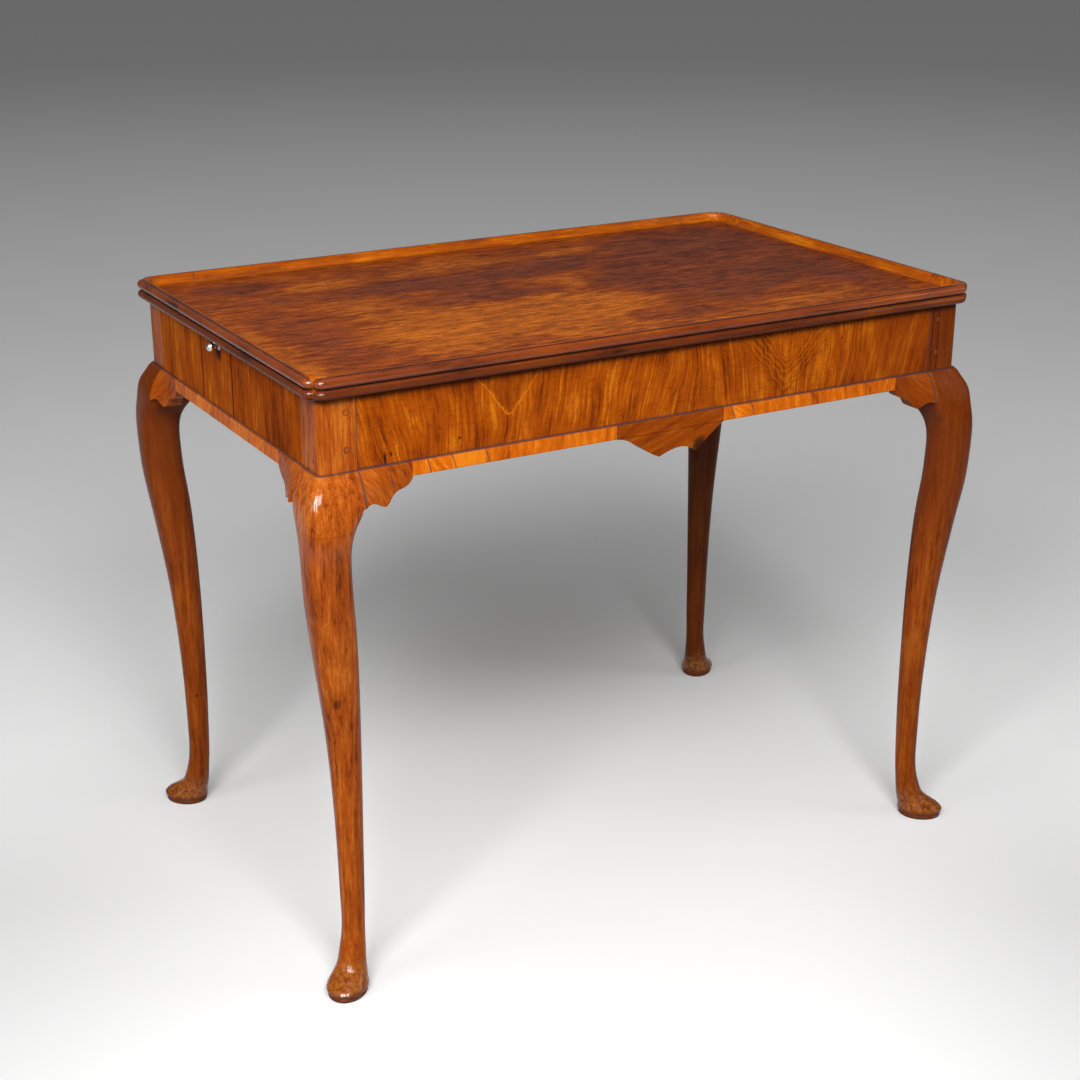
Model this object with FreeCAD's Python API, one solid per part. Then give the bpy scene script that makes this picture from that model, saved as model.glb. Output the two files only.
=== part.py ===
import FreeCAD, Part
import math
import os

os.makedirs("parts", exist_ok=True)

# All lengths are in millimetres. The table stands on the floor with its middle over the origin,
# its long side along X and its height along Z. The front is towards minus Y, the left end towards minus X.

# Frame of the table, measured over the outer faces of the apron
frame_length = 835.0
frame_width = 507.0
table_height = 710.0
apron_depth = 81.0
post_size = 42.0
post_round = 6.0

# Rails, veneers and their joints
rail_thickness = 20.0
veneer_thickness = 2.0
tenon_length = 24.0
tenon_thickness = 9.0
tenon_reveal = 12.0
peg_radius = 3.3
peg_length = 30.0
peg_proud = 0.5
peg_inset = 31.0
peg_drop = 18.0
peg_pitch = 40.0

# Banding and drop along the lower edge of the apron
banding_depth = 16.0
banding_proud = 3.0
banding_round = 1.2
drop_length = 142.0
drop_depth = 28.5
drop_shift = 6.0

# Tray
rim_height = 23.0
tray_thickness = 11.5
board_joint = 135.0
rim_overhang = 13.5
rim_inset = 3.5
bead_depth = 4.5
lower_bead = 10.8
groove_gap = 0.6
crest_outer = 7.5
crest_width = 3.7
crest_step = 0.6
cavetto_sag = 1.8

# Corner blocks of the rim
corner_arm_long = 60.0
corner_arm_end = 54.0
lobe_radius = 10.0
lobe_setback = 9.0
crest_radius = 30.0

# Cabriole legs
knee_reach = 25.0
stance_shift = 6.0
ankle_inset = 22.5
foot_height = 42.0
pad_length = 57.6
pad_width = 46.4
pad_edge = 2.6
disc_height = 8.0
disc_length = 54.5
disc_width = 43.6

# Knee brackets
bracket_length_left = 61.5
bracket_length_right = 50.0
bracket_length_end_front = 59.0
bracket_length_end_back = 47.0
bracket_drop = 24.5
bracket_thickness = 11.0

# Candle slides
slide_width = 170.0
slide_thickness = 12.0
slide_depth = 225.0
slide_offset = 14.0
slide_clearance = 0.3
lip_thickness = 8.0
runner_wall = 12.0
runner_ledge = 10.0
ledge_thickness = 9.0
cleat_width = 20.0
cleat_thickness = 9.0
stop_length = 18.0
stop_width = 50.0
stop_height = 16.0

# Knobs of the candle slides
knob_radius = 5.4
knob_neck = 2.3
knob_neck_length = 4.0
knob_rose = 5.2
knob_rose_thickness = 1.2
knob_shank = 2.0
knob_shank_length = 18.0

# Glue blocks under the tray
glue_leg = 18.0
glue_length = 52.0

# Outline of the leg: share of the ledge height, of the knee reach outside and of the post size inside,
# then how square the outer corner, the side corner and the end corner of the section are, and the share
# of the stance shift
leg_shares = (
    (1.000, 0.120, 0.976, 6.00, 14.0, 14.0, 0.00),
    (0.985, 0.380, 0.976, 5.50, 14.0, 8.00, 0.00),
    (0.974, 0.550, 0.976, 5.00, 14.0, 5.60, 0.00),
    (0.962, 0.700, 0.976, 4.60, 14.0, 4.50, 0.00),
    (0.944, 0.830, 0.976, 4.00, 10.0, 3.90, 0.10),
    (0.927, 0.900, 0.900, 3.60, 6.00, 3.60, 0.20),
    (0.911, 0.960, 0.770, 3.30, 4.20, 3.40, 0.30),
    (0.891, 1.010, 0.640, 3.00, 3.40, 3.10, 0.38),
    (0.866, 1.030, 0.575, 2.80, 2.90, 2.80, 0.42),
    (0.825, 1.010, 0.570, 2.70, 2.70, 2.70, 0.45),
    (0.776, 0.960, 0.600, 2.60, 2.60, 2.60, 0.50),
    (0.710, 0.790, 0.682, 2.40, 2.40, 2.40, 0.58),
    (0.627, 0.550, 0.733, 2.30, 2.30, 2.30, 0.70),
    (0.528, 0.290, 0.755, 2.15, 2.15, 2.15, 0.84),
    (0.413, 0.088, 0.752, 2.05, 2.05, 2.05, 0.95),
    (0.280, -0.048, 0.733, 2.00, 2.00, 2.00, 1.00),
    (0.165, -0.084, 0.693, 2.00, 2.00, 2.00, 1.05),
    (0.102, -0.028, 0.660, 2.00, 2.00, 2.00, 1.05),
)

# Outline of the pad foot: share of the foot height above its edge, of the ankle inset, of the pad length
# and of the pad width
foot_shares = (
    (1.000, 0.747, 0.523, 0.655),
    (0.620, 0.600, 0.600, 0.710),
    (0.360, 0.360, 0.740, 0.810),
    (0.140, 0.060, 0.920, 0.930),
    (0.000, -0.050, 1.000, 1.000),
)

# Edge of the disc under the foot: share of its height and of its length and width
disc_shares = (
    (0.00, 0.955), (0.14, 0.995), (0.36, 0.995), (0.50, 0.945), (0.64, 0.985), (0.84, 0.985), (1.00, 0.935),
)

# Angles of the points in each quarter of a section, as shares of the quarter
ring_shares = (0.0, 0.25, 0.42, 0.50, 0.58, 0.75)

# Lower edge of a bracket: share of its length and of its drop
bracket_edge_shares = (
    (1.00, 0.00),
    (0.96, 0.20),
    (0.85, 0.39),
    (0.65, 0.53),
    (0.54, 0.78),
    (0.44, 1.00),
    (0.34, 0.94),
    (0.21, 0.76),
    (0.00, 0.80),
)

# Swell of a bracket: share of its length and of the knee's own swell, then share of its height and of the
# knee reach at the leg and at its tip
bracket_fade_shares = ((-0.08, 1.10), (0.00, 1.00), (0.42, 0.46), (1.00, 0.00))
bracket_swell_shares = (
    (0.00, 0.075, 0.072), (0.03, 0.140, 0.118), (0.10, 0.250, 0.120), (0.225, 0.385, 0.120),
    (0.39, 0.550, 0.120), (0.57, 0.700, 0.120), (0.84, 0.830, 0.120), (1.12, 0.910, 0.120),
)
end_swell_share = 0.85

# Lower edge of the drop, from its left end to a point, along the arch to the other point, and to its right end
drop_left_shares = ((-1.00, 0.00), (-0.83, 0.10), (-0.55, 0.50), (-0.32, 0.88), (-0.215, 1.00))
drop_arch_shares = ((-0.215, 1.00), (0.00, 0.81), (0.20, 0.74), (0.37, 0.84), (0.476, 1.00))
drop_right_shares = ((0.476, 1.00), (0.56, 0.86), (0.644, 0.67), (0.785, 0.37), (0.904, 0.15), (1.00, 0.00))

# Places of the glue blocks as shares of the frame's length and width
glue_long_shares = (-0.3, 0.0, 0.3)
glue_end_share = 0.325

vector = FreeCAD.Vector
up = vector(0, 0, 1)
middle = vector(0, 0, 0)
half_length = frame_length / 2
half_width = frame_width / 2
frame_top = table_height - rim_height
tray_top = frame_top + tray_thickness
ledge = frame_top - apron_depth
rail_bottom = ledge - banding_depth
rail_half_long = half_length - post_size
rail_half_end = half_width - post_size
rail_back = veneer_thickness + rail_thickness
rail_centre = veneer_thickness + rail_thickness / 2
groove_outer = rim_overhang - bead_depth


# Places and simple shapes

def corner_point(beyond_end, beyond_side, height):
    """A point at the front left corner, measured outwards from the two faces of the apron."""
    return vector(-half_length - beyond_end, -half_width - beyond_side, height)


def block(x_low, x_high, y_low, y_high, z_low, z_high):
    return Part.makeBox(x_high - x_low, y_high - y_low, z_high - z_low, vector(x_low, y_low, z_low))


def mirror_x(shape):
    return shape.mirror(middle, vector(1, 0, 0))


def mirror_y(shape):
    return shape.mirror(middle, vector(0, 1, 0))


def mirror_diagonal(shape):
    return shape.mirror(corner_point(0, 0, 0), vector(1, -1, 0))


def join(shapes):
    whole = shapes[0]
    for shape in shapes[1:]:
        whole = whole.fuse(shape)
    return whole.removeSplitter()


def spline(points):
    curve = Part.BSplineCurve()
    curve.interpolate(points)
    return curve.toShape()


def line(start, end):
    return Part.LineSegment(start, end).toShape()


def arc(start, through, end):
    return Part.Arc(start, through, end).toShape()


def face_of(edges):
    return Part.Face(Part.Wire(Part.__sortEdges__(edges)))


# Cabriole leg at the front left corner

def closed_ring(points):
    """A smooth closed curve through points, in four edges."""
    curve = Part.BSplineCurve()
    curve.interpolate(Points=points, PeriodicFlag=True)
    starts = [curve.parameter(points[len(ring_shares) * quarter]) for quarter in range(1, 4)]
    cuts = [curve.FirstParameter] + starts + [curve.LastParameter]
    return Part.Wire([curve.toShape(cuts[quarter], cuts[quarter + 1]) for quarter in range(4)])


def ring_angles():
    return [math.pi / 2 * (quarter + share) for quarter in range(4) for share in ring_shares]


def square_ring(height, outer, inner, outer_power, side_power, end_power, shift):
    """Section of the leg with rounded corners, its sides along the apron."""
    powers = (outer_power, side_power, side_power, end_power)
    centre = (outer + inner) / 2
    half = (outer - inner) / 2
    points = []
    for quarter, power in enumerate(powers):
        for share in ring_shares:
            angle = math.pi / 2 * (quarter + share)
            across = math.cos(angle)
            along = math.sin(angle)
            radius = half * (abs(across) ** power + abs(along) ** power) ** (-1 / power)
            points.append(corner_point(centre - shift + radius * across, centre + shift + radius * along, height))
    return closed_ring(points)


def oval_ring(height, inset, length, width, shift):
    """Section of the foot, an oval with its length on the diagonal of the corner."""
    centre = -inset / math.sqrt(2)
    points = []
    for angle in ring_angles():
        lengthwise = math.cos(angle - math.pi / 4) / (length / 2)
        crosswise = math.sin(angle - math.pi / 4) / (width / 2)
        radius = (lengthwise ** 2 + crosswise ** 2) ** -0.5
        beyond_end = centre - shift + radius * math.cos(angle)
        beyond_side = centre + shift + radius * math.sin(angle)
        points.append(corner_point(beyond_end, beyond_side, height))
    return closed_ring(points)


def post_face(height):
    """Square section of the post with the corner to the outside rounded."""
    turn = post_round * (1 - math.sqrt(0.5))
    inner_corner = corner_point(-post_size, -post_size, height)
    side_corner = corner_point(-post_size, 0, height)
    side_end = corner_point(-post_round, 0, height)
    end_start = corner_point(0, -post_round, height)
    end_corner = corner_point(0, -post_size, height)
    edges = [
        line(inner_corner, side_corner),
        line(side_corner, side_end),
        arc(side_end, corner_point(-turn, -turn, height), end_start),
        line(end_start, end_corner),
        line(end_corner, inner_corner),
    ]
    return Part.Face(Part.Wire(edges))


def make_leg():
    rings = []
    for height_share, outer_share, inner_share, outer_power, side_power, end_power, stance_share in leg_shares:
        height = ledge * height_share
        outer = knee_reach * outer_share
        inner = -post_size * inner_share
        shift = stance_shift * stance_share
        rings.append(square_ring(height, outer, inner, outer_power, side_power, end_power, shift))
    edge_top = disc_height + pad_edge
    for height_share, inset_share, length_share, width_share in foot_shares:
        height = edge_top + (foot_height - edge_top) * height_share
        inset = ankle_inset * inset_share
        rings.append(oval_ring(height, inset, pad_length * length_share, pad_width * width_share, stance_shift))
    cabriole = Part.makeLoft(rings, True, False)
    inset = ankle_inset * foot_shares[-1][1]
    edge_low = oval_ring(disc_height, inset, pad_length, pad_width, stance_shift)
    edge = Part.makeLoft([edge_low, rings[-1]], True, True)
    disc_rings = []
    for height_share, size_share in disc_shares:
        length = disc_length * size_share
        width = disc_width * size_share
        disc_rings.append(oval_ring(disc_height * height_share, inset, length, width, stance_shift))
    disc = Part.makeLoft(disc_rings, True, True)
    post = post_face(ledge).extrude(up * (frame_top - ledge))
    return join([post, cabriole, edge, disc])


# Knee bracket on the long side at the front left corner, and the same turned to the end

def make_bracket(length, swell_share):
    """A bracket from the ledge down, flush with the knee at the leg and with the banding at its tip."""
    height = banding_depth + bracket_drop
    low = ledge - height * bracket_swell_shares[-1][0]
    wires = []
    for along_share, fade_share in bracket_fade_shares:
        across = -post_size - length * along_share
        front = []
        for drop_share, leg_share, tip_share in bracket_swell_shares:
            swell = knee_reach * (tip_share + (leg_share - tip_share) * fade_share * swell_share)
            front.append(corner_point(across, swell, ledge - height * drop_share))
        back_top = corner_point(across, -bracket_thickness, ledge)
        back_low = corner_point(across, -bracket_thickness, low)
        edges = [line(back_top, front[0]), spline(front), line(front[-1], back_low), line(back_low, back_top)]
        wires.append(Part.Wire(edges))
    body = Part.makeLoft(wires, True, False)
    start = -post_size - length * bracket_fade_shares[0][0]
    lower = []
    for along_share, drop_share in bracket_edge_shares:
        across = -post_size - length * along_share
        lower.append(corner_point(across, -bracket_thickness, rail_bottom - bracket_drop * drop_share))
    inner_low = corner_point(start, -bracket_thickness, lower[-1].z)
    inner_top = corner_point(start, -bracket_thickness, ledge)
    tip_top = corner_point(-post_size - length, -bracket_thickness, ledge)
    outline = face_of([
        spline(lower), line(lower[-1], inner_low), line(inner_low, inner_top), line(inner_top, tip_top),
        line(tip_top, lower[0]),
    ])
    cutter = outline.extrude(vector(0, -bracket_thickness - 2 * knee_reach, 0))
    return body.common(cutter)


# Rim of the tray

crest_inner = crest_outer - crest_width
bead_top = rim_height - crest_step


def bead_edges(place):
    """The two beads on the outside of the rim, from its underside up to the crest."""
    upper_start = lower_bead + groove_gap
    upper_middle = (upper_start + bead_top) / 2
    return [
        arc(place(groove_outer, 0), place(rim_overhang, lower_bead / 2), place(groove_outer, lower_bead)),
        line(place(groove_outer, lower_bead), place(groove_outer, upper_start)),
        arc(place(groove_outer, upper_start), place(rim_overhang, upper_middle), place(crest_outer, bead_top)),
    ]


def crest_edges(place):
    """The crest, the hollow inside it and the wall against the tray."""
    foot = (-rim_inset, tray_thickness)
    crest = (crest_inner, rim_height)
    run = crest[0] - foot[0]
    rise = crest[1] - foot[1]
    reach = math.hypot(run, rise)
    hollow_out = (crest[0] + foot[0]) / 2 + cavetto_sag * rise / reach
    hollow_up = (crest[1] + foot[1]) / 2 - cavetto_sag * run / reach
    return [
        line(place(crest_outer, rim_height), place(*crest)),
        arc(place(*crest), place(hollow_out, hollow_up), place(*foot)),
        line(place(*foot), place(-rim_inset, 0)),
    ]


def rim_edges(place):
    """Section of the rim; place turns a distance beyond the apron and a height on the rim into a point."""
    base = line(place(-rim_inset, 0), place(groove_outer, 0))
    step = line(place(crest_outer, bead_top), place(crest_outer, rim_height))
    return [base] + bead_edges(place) + [step] + crest_edges(place)


def end_place(beyond_side):
    """Places on a section across the left rim at a distance beyond the front."""
    def place(out, rise):
        return corner_point(out, beyond_side, frame_top + rise)
    return place


def make_rim_left():
    length = frame_width - 2 * corner_arm_end
    return Part.Face(Part.Wire(rim_edges(end_place(-corner_arm_end)))).extrude(vector(0, length, 0))


def make_rim_front():
    def place(out, rise):
        return corner_point(-corner_arm_long, out, frame_top + rise)
    length = frame_length - 2 * corner_arm_long
    return Part.Face(Part.Wire(rim_edges(place))).extrude(vector(length, 0, 0))


lobe_out = rim_overhang - lobe_radius
lobe_along = lobe_out - lobe_setback
crest_turn = crest_outer - crest_radius


def make_lobe(arm):
    """Half of the beads of a corner: a straight run along the end and a lobe up to the diagonal."""
    def section(beyond_side):
        place = end_place(beyond_side)
        base = line(place(lobe_out, 0), place(groove_outer, 0))
        top = line(place(crest_outer, bead_top), place(lobe_out, bead_top))
        wall = line(place(lobe_out, bead_top), place(lobe_out, 0))
        return Part.Face(Part.Wire([base] + bead_edges(place) + [top, wall]))
    run = section(-arm).extrude(vector(0, -arm - lobe_along, 0))
    turn = section(lobe_along).revolve(corner_point(lobe_out, lobe_along, 0), up, 90)
    reach = 2 * (corner_arm_long + corner_arm_end)
    corners = [(-reach, -reach), (reach, reach), (reach, -reach), (-reach, -reach)]
    base = frame_top - rim_height
    half = Part.Face(Part.makePolygon([corner_point(out, along, base) for out, along in corners]))
    return run.fuse(turn).common(half.extrude(up * (rim_height * 3)))


def make_crest(arm):
    """Straight part of the crest along the end."""
    place = end_place(-arm)
    base = line(place(-rim_inset, 0), place(crest_outer, 0))
    wall = line(place(crest_outer, 0), place(crest_outer, rim_height))
    return Part.Face(Part.Wire([base, wall] + crest_edges(place))).extrude(vector(0, -arm - crest_turn, 0))


def make_crest_turn():
    """Rounded part of the crest, with the wood between it and the lobes."""
    place = end_place(crest_turn)
    base = line(place(-rim_inset, 0), place(crest_outer, 0))
    wall = line(place(crest_outer, 0), place(crest_outer, rim_height))
    axis = corner_point(crest_turn, crest_turn, frame_top)
    turn = Part.Face(Part.Wire([base, wall] + crest_edges(place))).revolve(axis, up, 90)
    low = corner_point(lobe_out, lobe_out, frame_top)
    side = lobe_out - crest_turn
    fill = Part.makeBox(side, side, bead_top, low)
    return turn.fuse(fill.cut(Part.makeCylinder(crest_radius, rim_height, axis)))


def make_rim_corner():
    crest_end = make_crest(corner_arm_end)
    crest_long = mirror_diagonal(make_crest(corner_arm_long))
    lobe_end = make_lobe(corner_arm_end)
    lobe_long = mirror_diagonal(make_lobe(corner_arm_long))
    return join([crest_end, make_crest_turn(), crest_long, lobe_end, lobe_long])


# Rails with their tenons

def make_rail_front():
    face = -half_width + veneer_thickness
    body = block(-rail_half_long, rail_half_long, face, face + rail_thickness, rail_bottom, frame_top)
    centre = -half_width + rail_centre
    reach = rail_half_long + tenon_length
    tenons = block(
        -reach, reach, centre - tenon_thickness / 2, centre + tenon_thickness / 2,
        rail_bottom + tenon_reveal, frame_top - tenon_reveal,
    )
    return join([body, tenons])


def make_rail_left():
    face = -half_length + veneer_thickness
    body = block(face, face + rail_thickness, -rail_half_end, rail_half_end, rail_bottom, frame_top)
    centre = -half_length + rail_centre
    reach = rail_half_end + tenon_length
    tenons = block(
        centre - tenon_thickness / 2, centre + tenon_thickness / 2, -reach, reach,
        rail_bottom + tenon_reveal, frame_top - tenon_reveal,
    )
    return join([body, tenons]).cut(slide_slot)


# Banding and drop

def strip_edges(place):
    """Section of the banding; place turns a distance beyond the apron and a height into a point."""
    corner_share = 1 - math.sqrt(0.5)
    flat = banding_proud - banding_round
    bend = banding_proud - banding_round * corner_share
    low_bend = rail_bottom + banding_round * corner_share
    high_bend = ledge - banding_round * corner_share
    low_flat = rail_bottom + banding_round
    high_flat = ledge - banding_round
    return [
        line(place(-veneer_thickness, rail_bottom), place(flat, rail_bottom)),
        arc(place(flat, rail_bottom), place(bend, low_bend), place(banding_proud, low_flat)),
        line(place(banding_proud, low_flat), place(banding_proud, high_flat)),
        arc(place(banding_proud, high_flat), place(bend, high_bend), place(flat, ledge)),
        line(place(flat, ledge), place(-veneer_thickness, ledge)),
        line(place(-veneer_thickness, ledge), place(-veneer_thickness, rail_bottom)),
    ]


def strip_front(x_low, x_high):
    def place(out, height):
        return vector(x_low, -half_width - out, height)
    return Part.Face(Part.Wire(strip_edges(place))).extrude(vector(x_high - x_low, 0, 0))


def strip_left(y_low, y_high):
    def place(out, height):
        return vector(-half_length - out, y_low, height)
    return Part.Face(Part.Wire(strip_edges(place))).extrude(vector(0, y_high - y_low, 0))


def make_drop():
    half = drop_length / 2
    face = -half_width - banding_proud

    def place(along_share, drop_share):
        return vector(drop_shift + half * along_share, face, rail_bottom - drop_depth * drop_share)

    left = [place(along, drop) for along, drop in drop_left_shares]
    arch = [place(along, drop) for along, drop in drop_arch_shares]
    right = [place(along, drop) for along, drop in drop_right_shares]
    outline = face_of([spline(left), spline(arch), spline(right), line(right[-1], left[0])])
    lower = outline.extrude(vector(0, rail_back + banding_proud, 0))
    strip = strip_front(drop_shift - half, drop_shift + half)
    return join([strip, lower])


# Candle slide at the left end

slide_top = frame_top - slide_clearance
slide_bottom = slide_top - slide_thickness
slot_bottom = slide_bottom - slide_clearance
slide_half = slide_width / 2
slot_half = slide_half + slide_clearance
end_face = -half_length
rail_inner = end_face + rail_back
slide_inner = end_face + slide_depth
stop_start = slide_inner + slide_clearance
runner_end = stop_start + stop_length
slide_slot = block(
    end_face, rail_inner, slide_offset - slot_half, slide_offset + slot_half, slot_bottom, frame_top,
)


def make_knob():
    height = (slide_top + slide_bottom) / 2
    axis_start = vector(end_face, slide_offset, height)

    def place(out, radius):
        return vector(end_face - out, slide_offset, height + radius)

    ball_start = knob_rose_thickness + knob_neck_length
    ball_centre = ball_start + math.sqrt(knob_radius ** 2 - knob_neck ** 2)
    edges = [
        line(place(-knob_shank_length, 0), place(-knob_shank_length, knob_shank)),
        line(place(-knob_shank_length, knob_shank), place(0, knob_shank)),
        line(place(0, knob_shank), place(0, knob_rose)),
        line(place(0, knob_rose), place(knob_rose_thickness, knob_rose)),
        line(place(knob_rose_thickness, knob_rose), place(knob_rose_thickness, knob_neck)),
        line(place(knob_rose_thickness, knob_neck), place(ball_start, knob_neck)),
        arc(place(ball_start, knob_neck), place(ball_centre, knob_radius), place(ball_centre + knob_radius, 0)),
        line(place(ball_centre + knob_radius, 0), place(-knob_shank_length, 0)),
    ]
    return Part.Face(Part.Wire(edges)).revolve(axis_start, vector(1, 0, 0), 360)


def make_runner(side):
    """One runner of the slide, a wall beside the slide with a ledge under its edge."""
    inner = slide_half - runner_ledge
    outer = slot_half + runner_wall
    low = slot_bottom - ledge_thickness
    edges = [slide_offset + side * inner, slide_offset + side * slot_half, slide_offset + side * outer]
    wall_low, wall_high = sorted(edges[1:])
    ledge_low, ledge_high = sorted((edges[0], edges[2]))
    wall = block(rail_inner, runner_end, wall_low, wall_high, low, frame_top)
    shelf = block(rail_inner, runner_end, ledge_low, ledge_high, low, slot_bottom)
    return join([wall, shelf])


# Glue blocks and pegs

def make_glue_blocks():
    shapes = []
    side_face = -half_width + rail_back
    for share in glue_long_shares:
        start = frame_length * share - glue_length / 2
        corner = vector(start, side_face, frame_top)
        inward = vector(start, side_face + glue_leg, frame_top)
        below = vector(start, side_face, frame_top - glue_leg)
        prism = Part.Face(Part.makePolygon([corner, inward, below, corner])).extrude(vector(glue_length, 0, 0))
        shapes.append(prism)
        shapes.append(mirror_y(prism))
    end_start = frame_width * glue_end_share - glue_length / 2
    corner = vector(rail_inner, end_start, frame_top)
    inward = vector(rail_inner + glue_leg, end_start, frame_top)
    below = vector(rail_inner, end_start, frame_top - glue_leg)
    prism = Part.Face(Part.makePolygon([corner, inward, below, corner])).extrude(vector(0, glue_length, 0))
    for shape in (prism, mirror_y(prism)):
        shapes.append(shape)
        shapes.append(mirror_x(shape))
    return shapes


def make_pegs():
    shapes = []
    for row in range(2):
        height = frame_top - peg_drop - peg_pitch * row
        start = corner_point(-peg_inset, peg_proud, height)
        shapes.append(Part.makeCylinder(peg_radius, peg_length + peg_proud, start, vector(0, 1, 0)))
    for turn in (mirror_x, mirror_y):
        shapes.extend([turn(shape) for shape in shapes])
    return shapes


def cut_all(shape, tools):
    for tool in tools:
        shape = shape.cut(tool)
    return shape


# All the pieces by name

pieces = {}
pegs = make_pegs()
glue = make_glue_blocks()

rail_front = make_rail_front()
rail_left = make_rail_left()
rail_pegged = cut_all(rail_front, pegs)
pieces["rail_front"] = rail_pegged
pieces["rail_back"] = mirror_y(rail_pegged)
pieces["rail_left"] = rail_left
pieces["rail_right"] = mirror_x(rail_left)

whole_leg = make_leg()
leg = cut_all(whole_leg, [rail_front, rail_left] + pegs[:2])
pieces["leg_front_left"] = leg
pieces["leg_front_right"] = mirror_x(leg)
pieces["leg_back_left"] = mirror_y(leg)
pieces["leg_back_right"] = mirror_x(mirror_y(leg))

bracket_left = make_bracket(bracket_length_left, 1).cut(whole_leg).cut(rail_front)
bracket_right = mirror_x(make_bracket(bracket_length_right, 1).cut(whole_leg).cut(rail_front))
bracket_ends = []
for length in (bracket_length_end_front, bracket_length_end_back):
    bracket_end = mirror_diagonal(make_bracket(length, end_swell_share))
    bracket_ends.append(bracket_end.cut(whole_leg).cut(rail_left))
pieces["bracket_front_left_long"] = bracket_left
pieces["bracket_front_right_long"] = bracket_right
pieces["bracket_back_left_long"] = mirror_y(bracket_left)
pieces["bracket_back_right_long"] = mirror_y(bracket_right)
pieces["bracket_front_left_end"] = bracket_ends[0]
pieces["bracket_front_right_end"] = mirror_x(bracket_ends[0])
pieces["bracket_back_left_end"] = mirror_y(bracket_ends[1])
pieces["bracket_back_right_end"] = mirror_x(mirror_y(bracket_ends[1]))

veneer_front = block(
    -rail_half_long, rail_half_long, -half_width, -half_width + veneer_thickness, ledge, frame_top,
)
veneer_left = block(
    -half_length, -half_length + veneer_thickness, -rail_half_end, rail_half_end, ledge, frame_top,
).cut(slide_slot)
pieces["veneer_front"] = veneer_front
pieces["veneer_back"] = mirror_y(veneer_front)
pieces["veneer_left"] = veneer_left
pieces["veneer_right"] = mirror_x(veneer_left)

drop = make_drop()
drop_low = drop_shift - drop_length / 2
drop_high = drop_shift + drop_length / 2
band_front_left = strip_front(-rail_half_long + bracket_length_left, drop_low)
band_front_right = strip_front(drop_high, rail_half_long - bracket_length_right)
band_left = strip_left(-rail_half_end + bracket_length_end_front, rail_half_end - bracket_length_end_back)
pieces["drop_front"] = drop
pieces["drop_back"] = mirror_y(drop)
pieces["banding_front_left"] = band_front_left
pieces["banding_front_right"] = band_front_right
pieces["banding_back_left"] = mirror_y(band_front_left)
pieces["banding_back_right"] = mirror_y(band_front_right)
pieces["banding_left"] = band_left
pieces["banding_right"] = mirror_x(band_left)

rim_front = make_rim_front()
rim_left = make_rim_left()
rim_corner = make_rim_corner()
rim_names = {
    "rim_front": rim_front,
    "rim_back": mirror_y(rim_front),
    "rim_left": rim_left,
    "rim_right": mirror_x(rim_left),
    "rim_corner_front_left": rim_corner,
    "rim_corner_front_right": mirror_x(rim_corner),
    "rim_corner_back_left": mirror_y(rim_corner),
    "rim_corner_back_right": mirror_x(mirror_y(rim_corner)),
}
pieces.update(rim_names)

board_front = block(-half_length, half_length, -half_width, board_joint, frame_top, tray_top)
board_back = block(-half_length, half_length, board_joint, half_width, frame_top, tray_top)
pieces["tray_board_front"] = cut_all(board_front, list(rim_names.values()))
pieces["tray_board_back"] = cut_all(board_back, list(rim_names.values()))

pieces["tenon_pegs"] = Part.makeCompound(pegs)
pieces["glue_blocks"] = Part.makeCompound(glue)

knob = make_knob()
slide_low = slide_offset - slide_half
slide_high = slide_offset + slide_half
lip = block(end_face, end_face + lip_thickness, slide_low, slide_high, slide_bottom, slide_top)
slide_board = block(end_face + lip_thickness, slide_inner, slide_low, slide_high, slide_bottom, slide_top)
cleat_half = slide_half - runner_ledge - slide_clearance
cleat = block(
    slide_inner - cleat_width, slide_inner, slide_offset - cleat_half, slide_offset + cleat_half,
    slide_bottom - cleat_thickness, slide_bottom,
)
stop = block(
    stop_start, runner_end, slide_offset - stop_width / 2, slide_offset + stop_width / 2,
    frame_top - stop_height, frame_top,
)
slide_pieces = {
    "slide_board": slide_board.cut(knob),
    "slide_lip": lip.cut(knob),
    "slide_knob": knob,
    "slide_cleat": cleat,
    "slide_stop": stop,
    "slide_runner_front": make_runner(-1),
    "slide_runner_back": make_runner(1),
}
for name, shape in slide_pieces.items():
    pieces[name + "_left"] = shape
    pieces[name + "_right"] = mirror_x(shape)

for name, shape in pieces.items():
    shape.exportStep("parts/" + name + ".step")
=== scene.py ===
"""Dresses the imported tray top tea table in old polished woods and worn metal, on a pale studio floor."""

import math

import bmesh
import bpy
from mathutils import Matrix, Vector


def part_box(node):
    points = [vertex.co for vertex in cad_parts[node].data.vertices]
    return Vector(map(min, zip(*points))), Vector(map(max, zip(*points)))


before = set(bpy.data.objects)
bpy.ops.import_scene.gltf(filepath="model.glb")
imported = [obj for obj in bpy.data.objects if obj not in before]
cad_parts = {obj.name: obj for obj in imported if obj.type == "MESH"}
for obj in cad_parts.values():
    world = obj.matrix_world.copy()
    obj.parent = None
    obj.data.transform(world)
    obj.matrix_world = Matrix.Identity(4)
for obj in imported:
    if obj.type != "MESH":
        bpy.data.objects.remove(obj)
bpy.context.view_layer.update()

bl_info = {
    "name": "Tray Top Tea Table",
    "version": (1, 0, 0),
    "blender": (4, 5, 0),
    "location": "View3D > Sidebar > Tea Table",
    "description": "Finishes a tray top tea table and sets it on a studio floor",
    "category": "Object",
}

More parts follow.
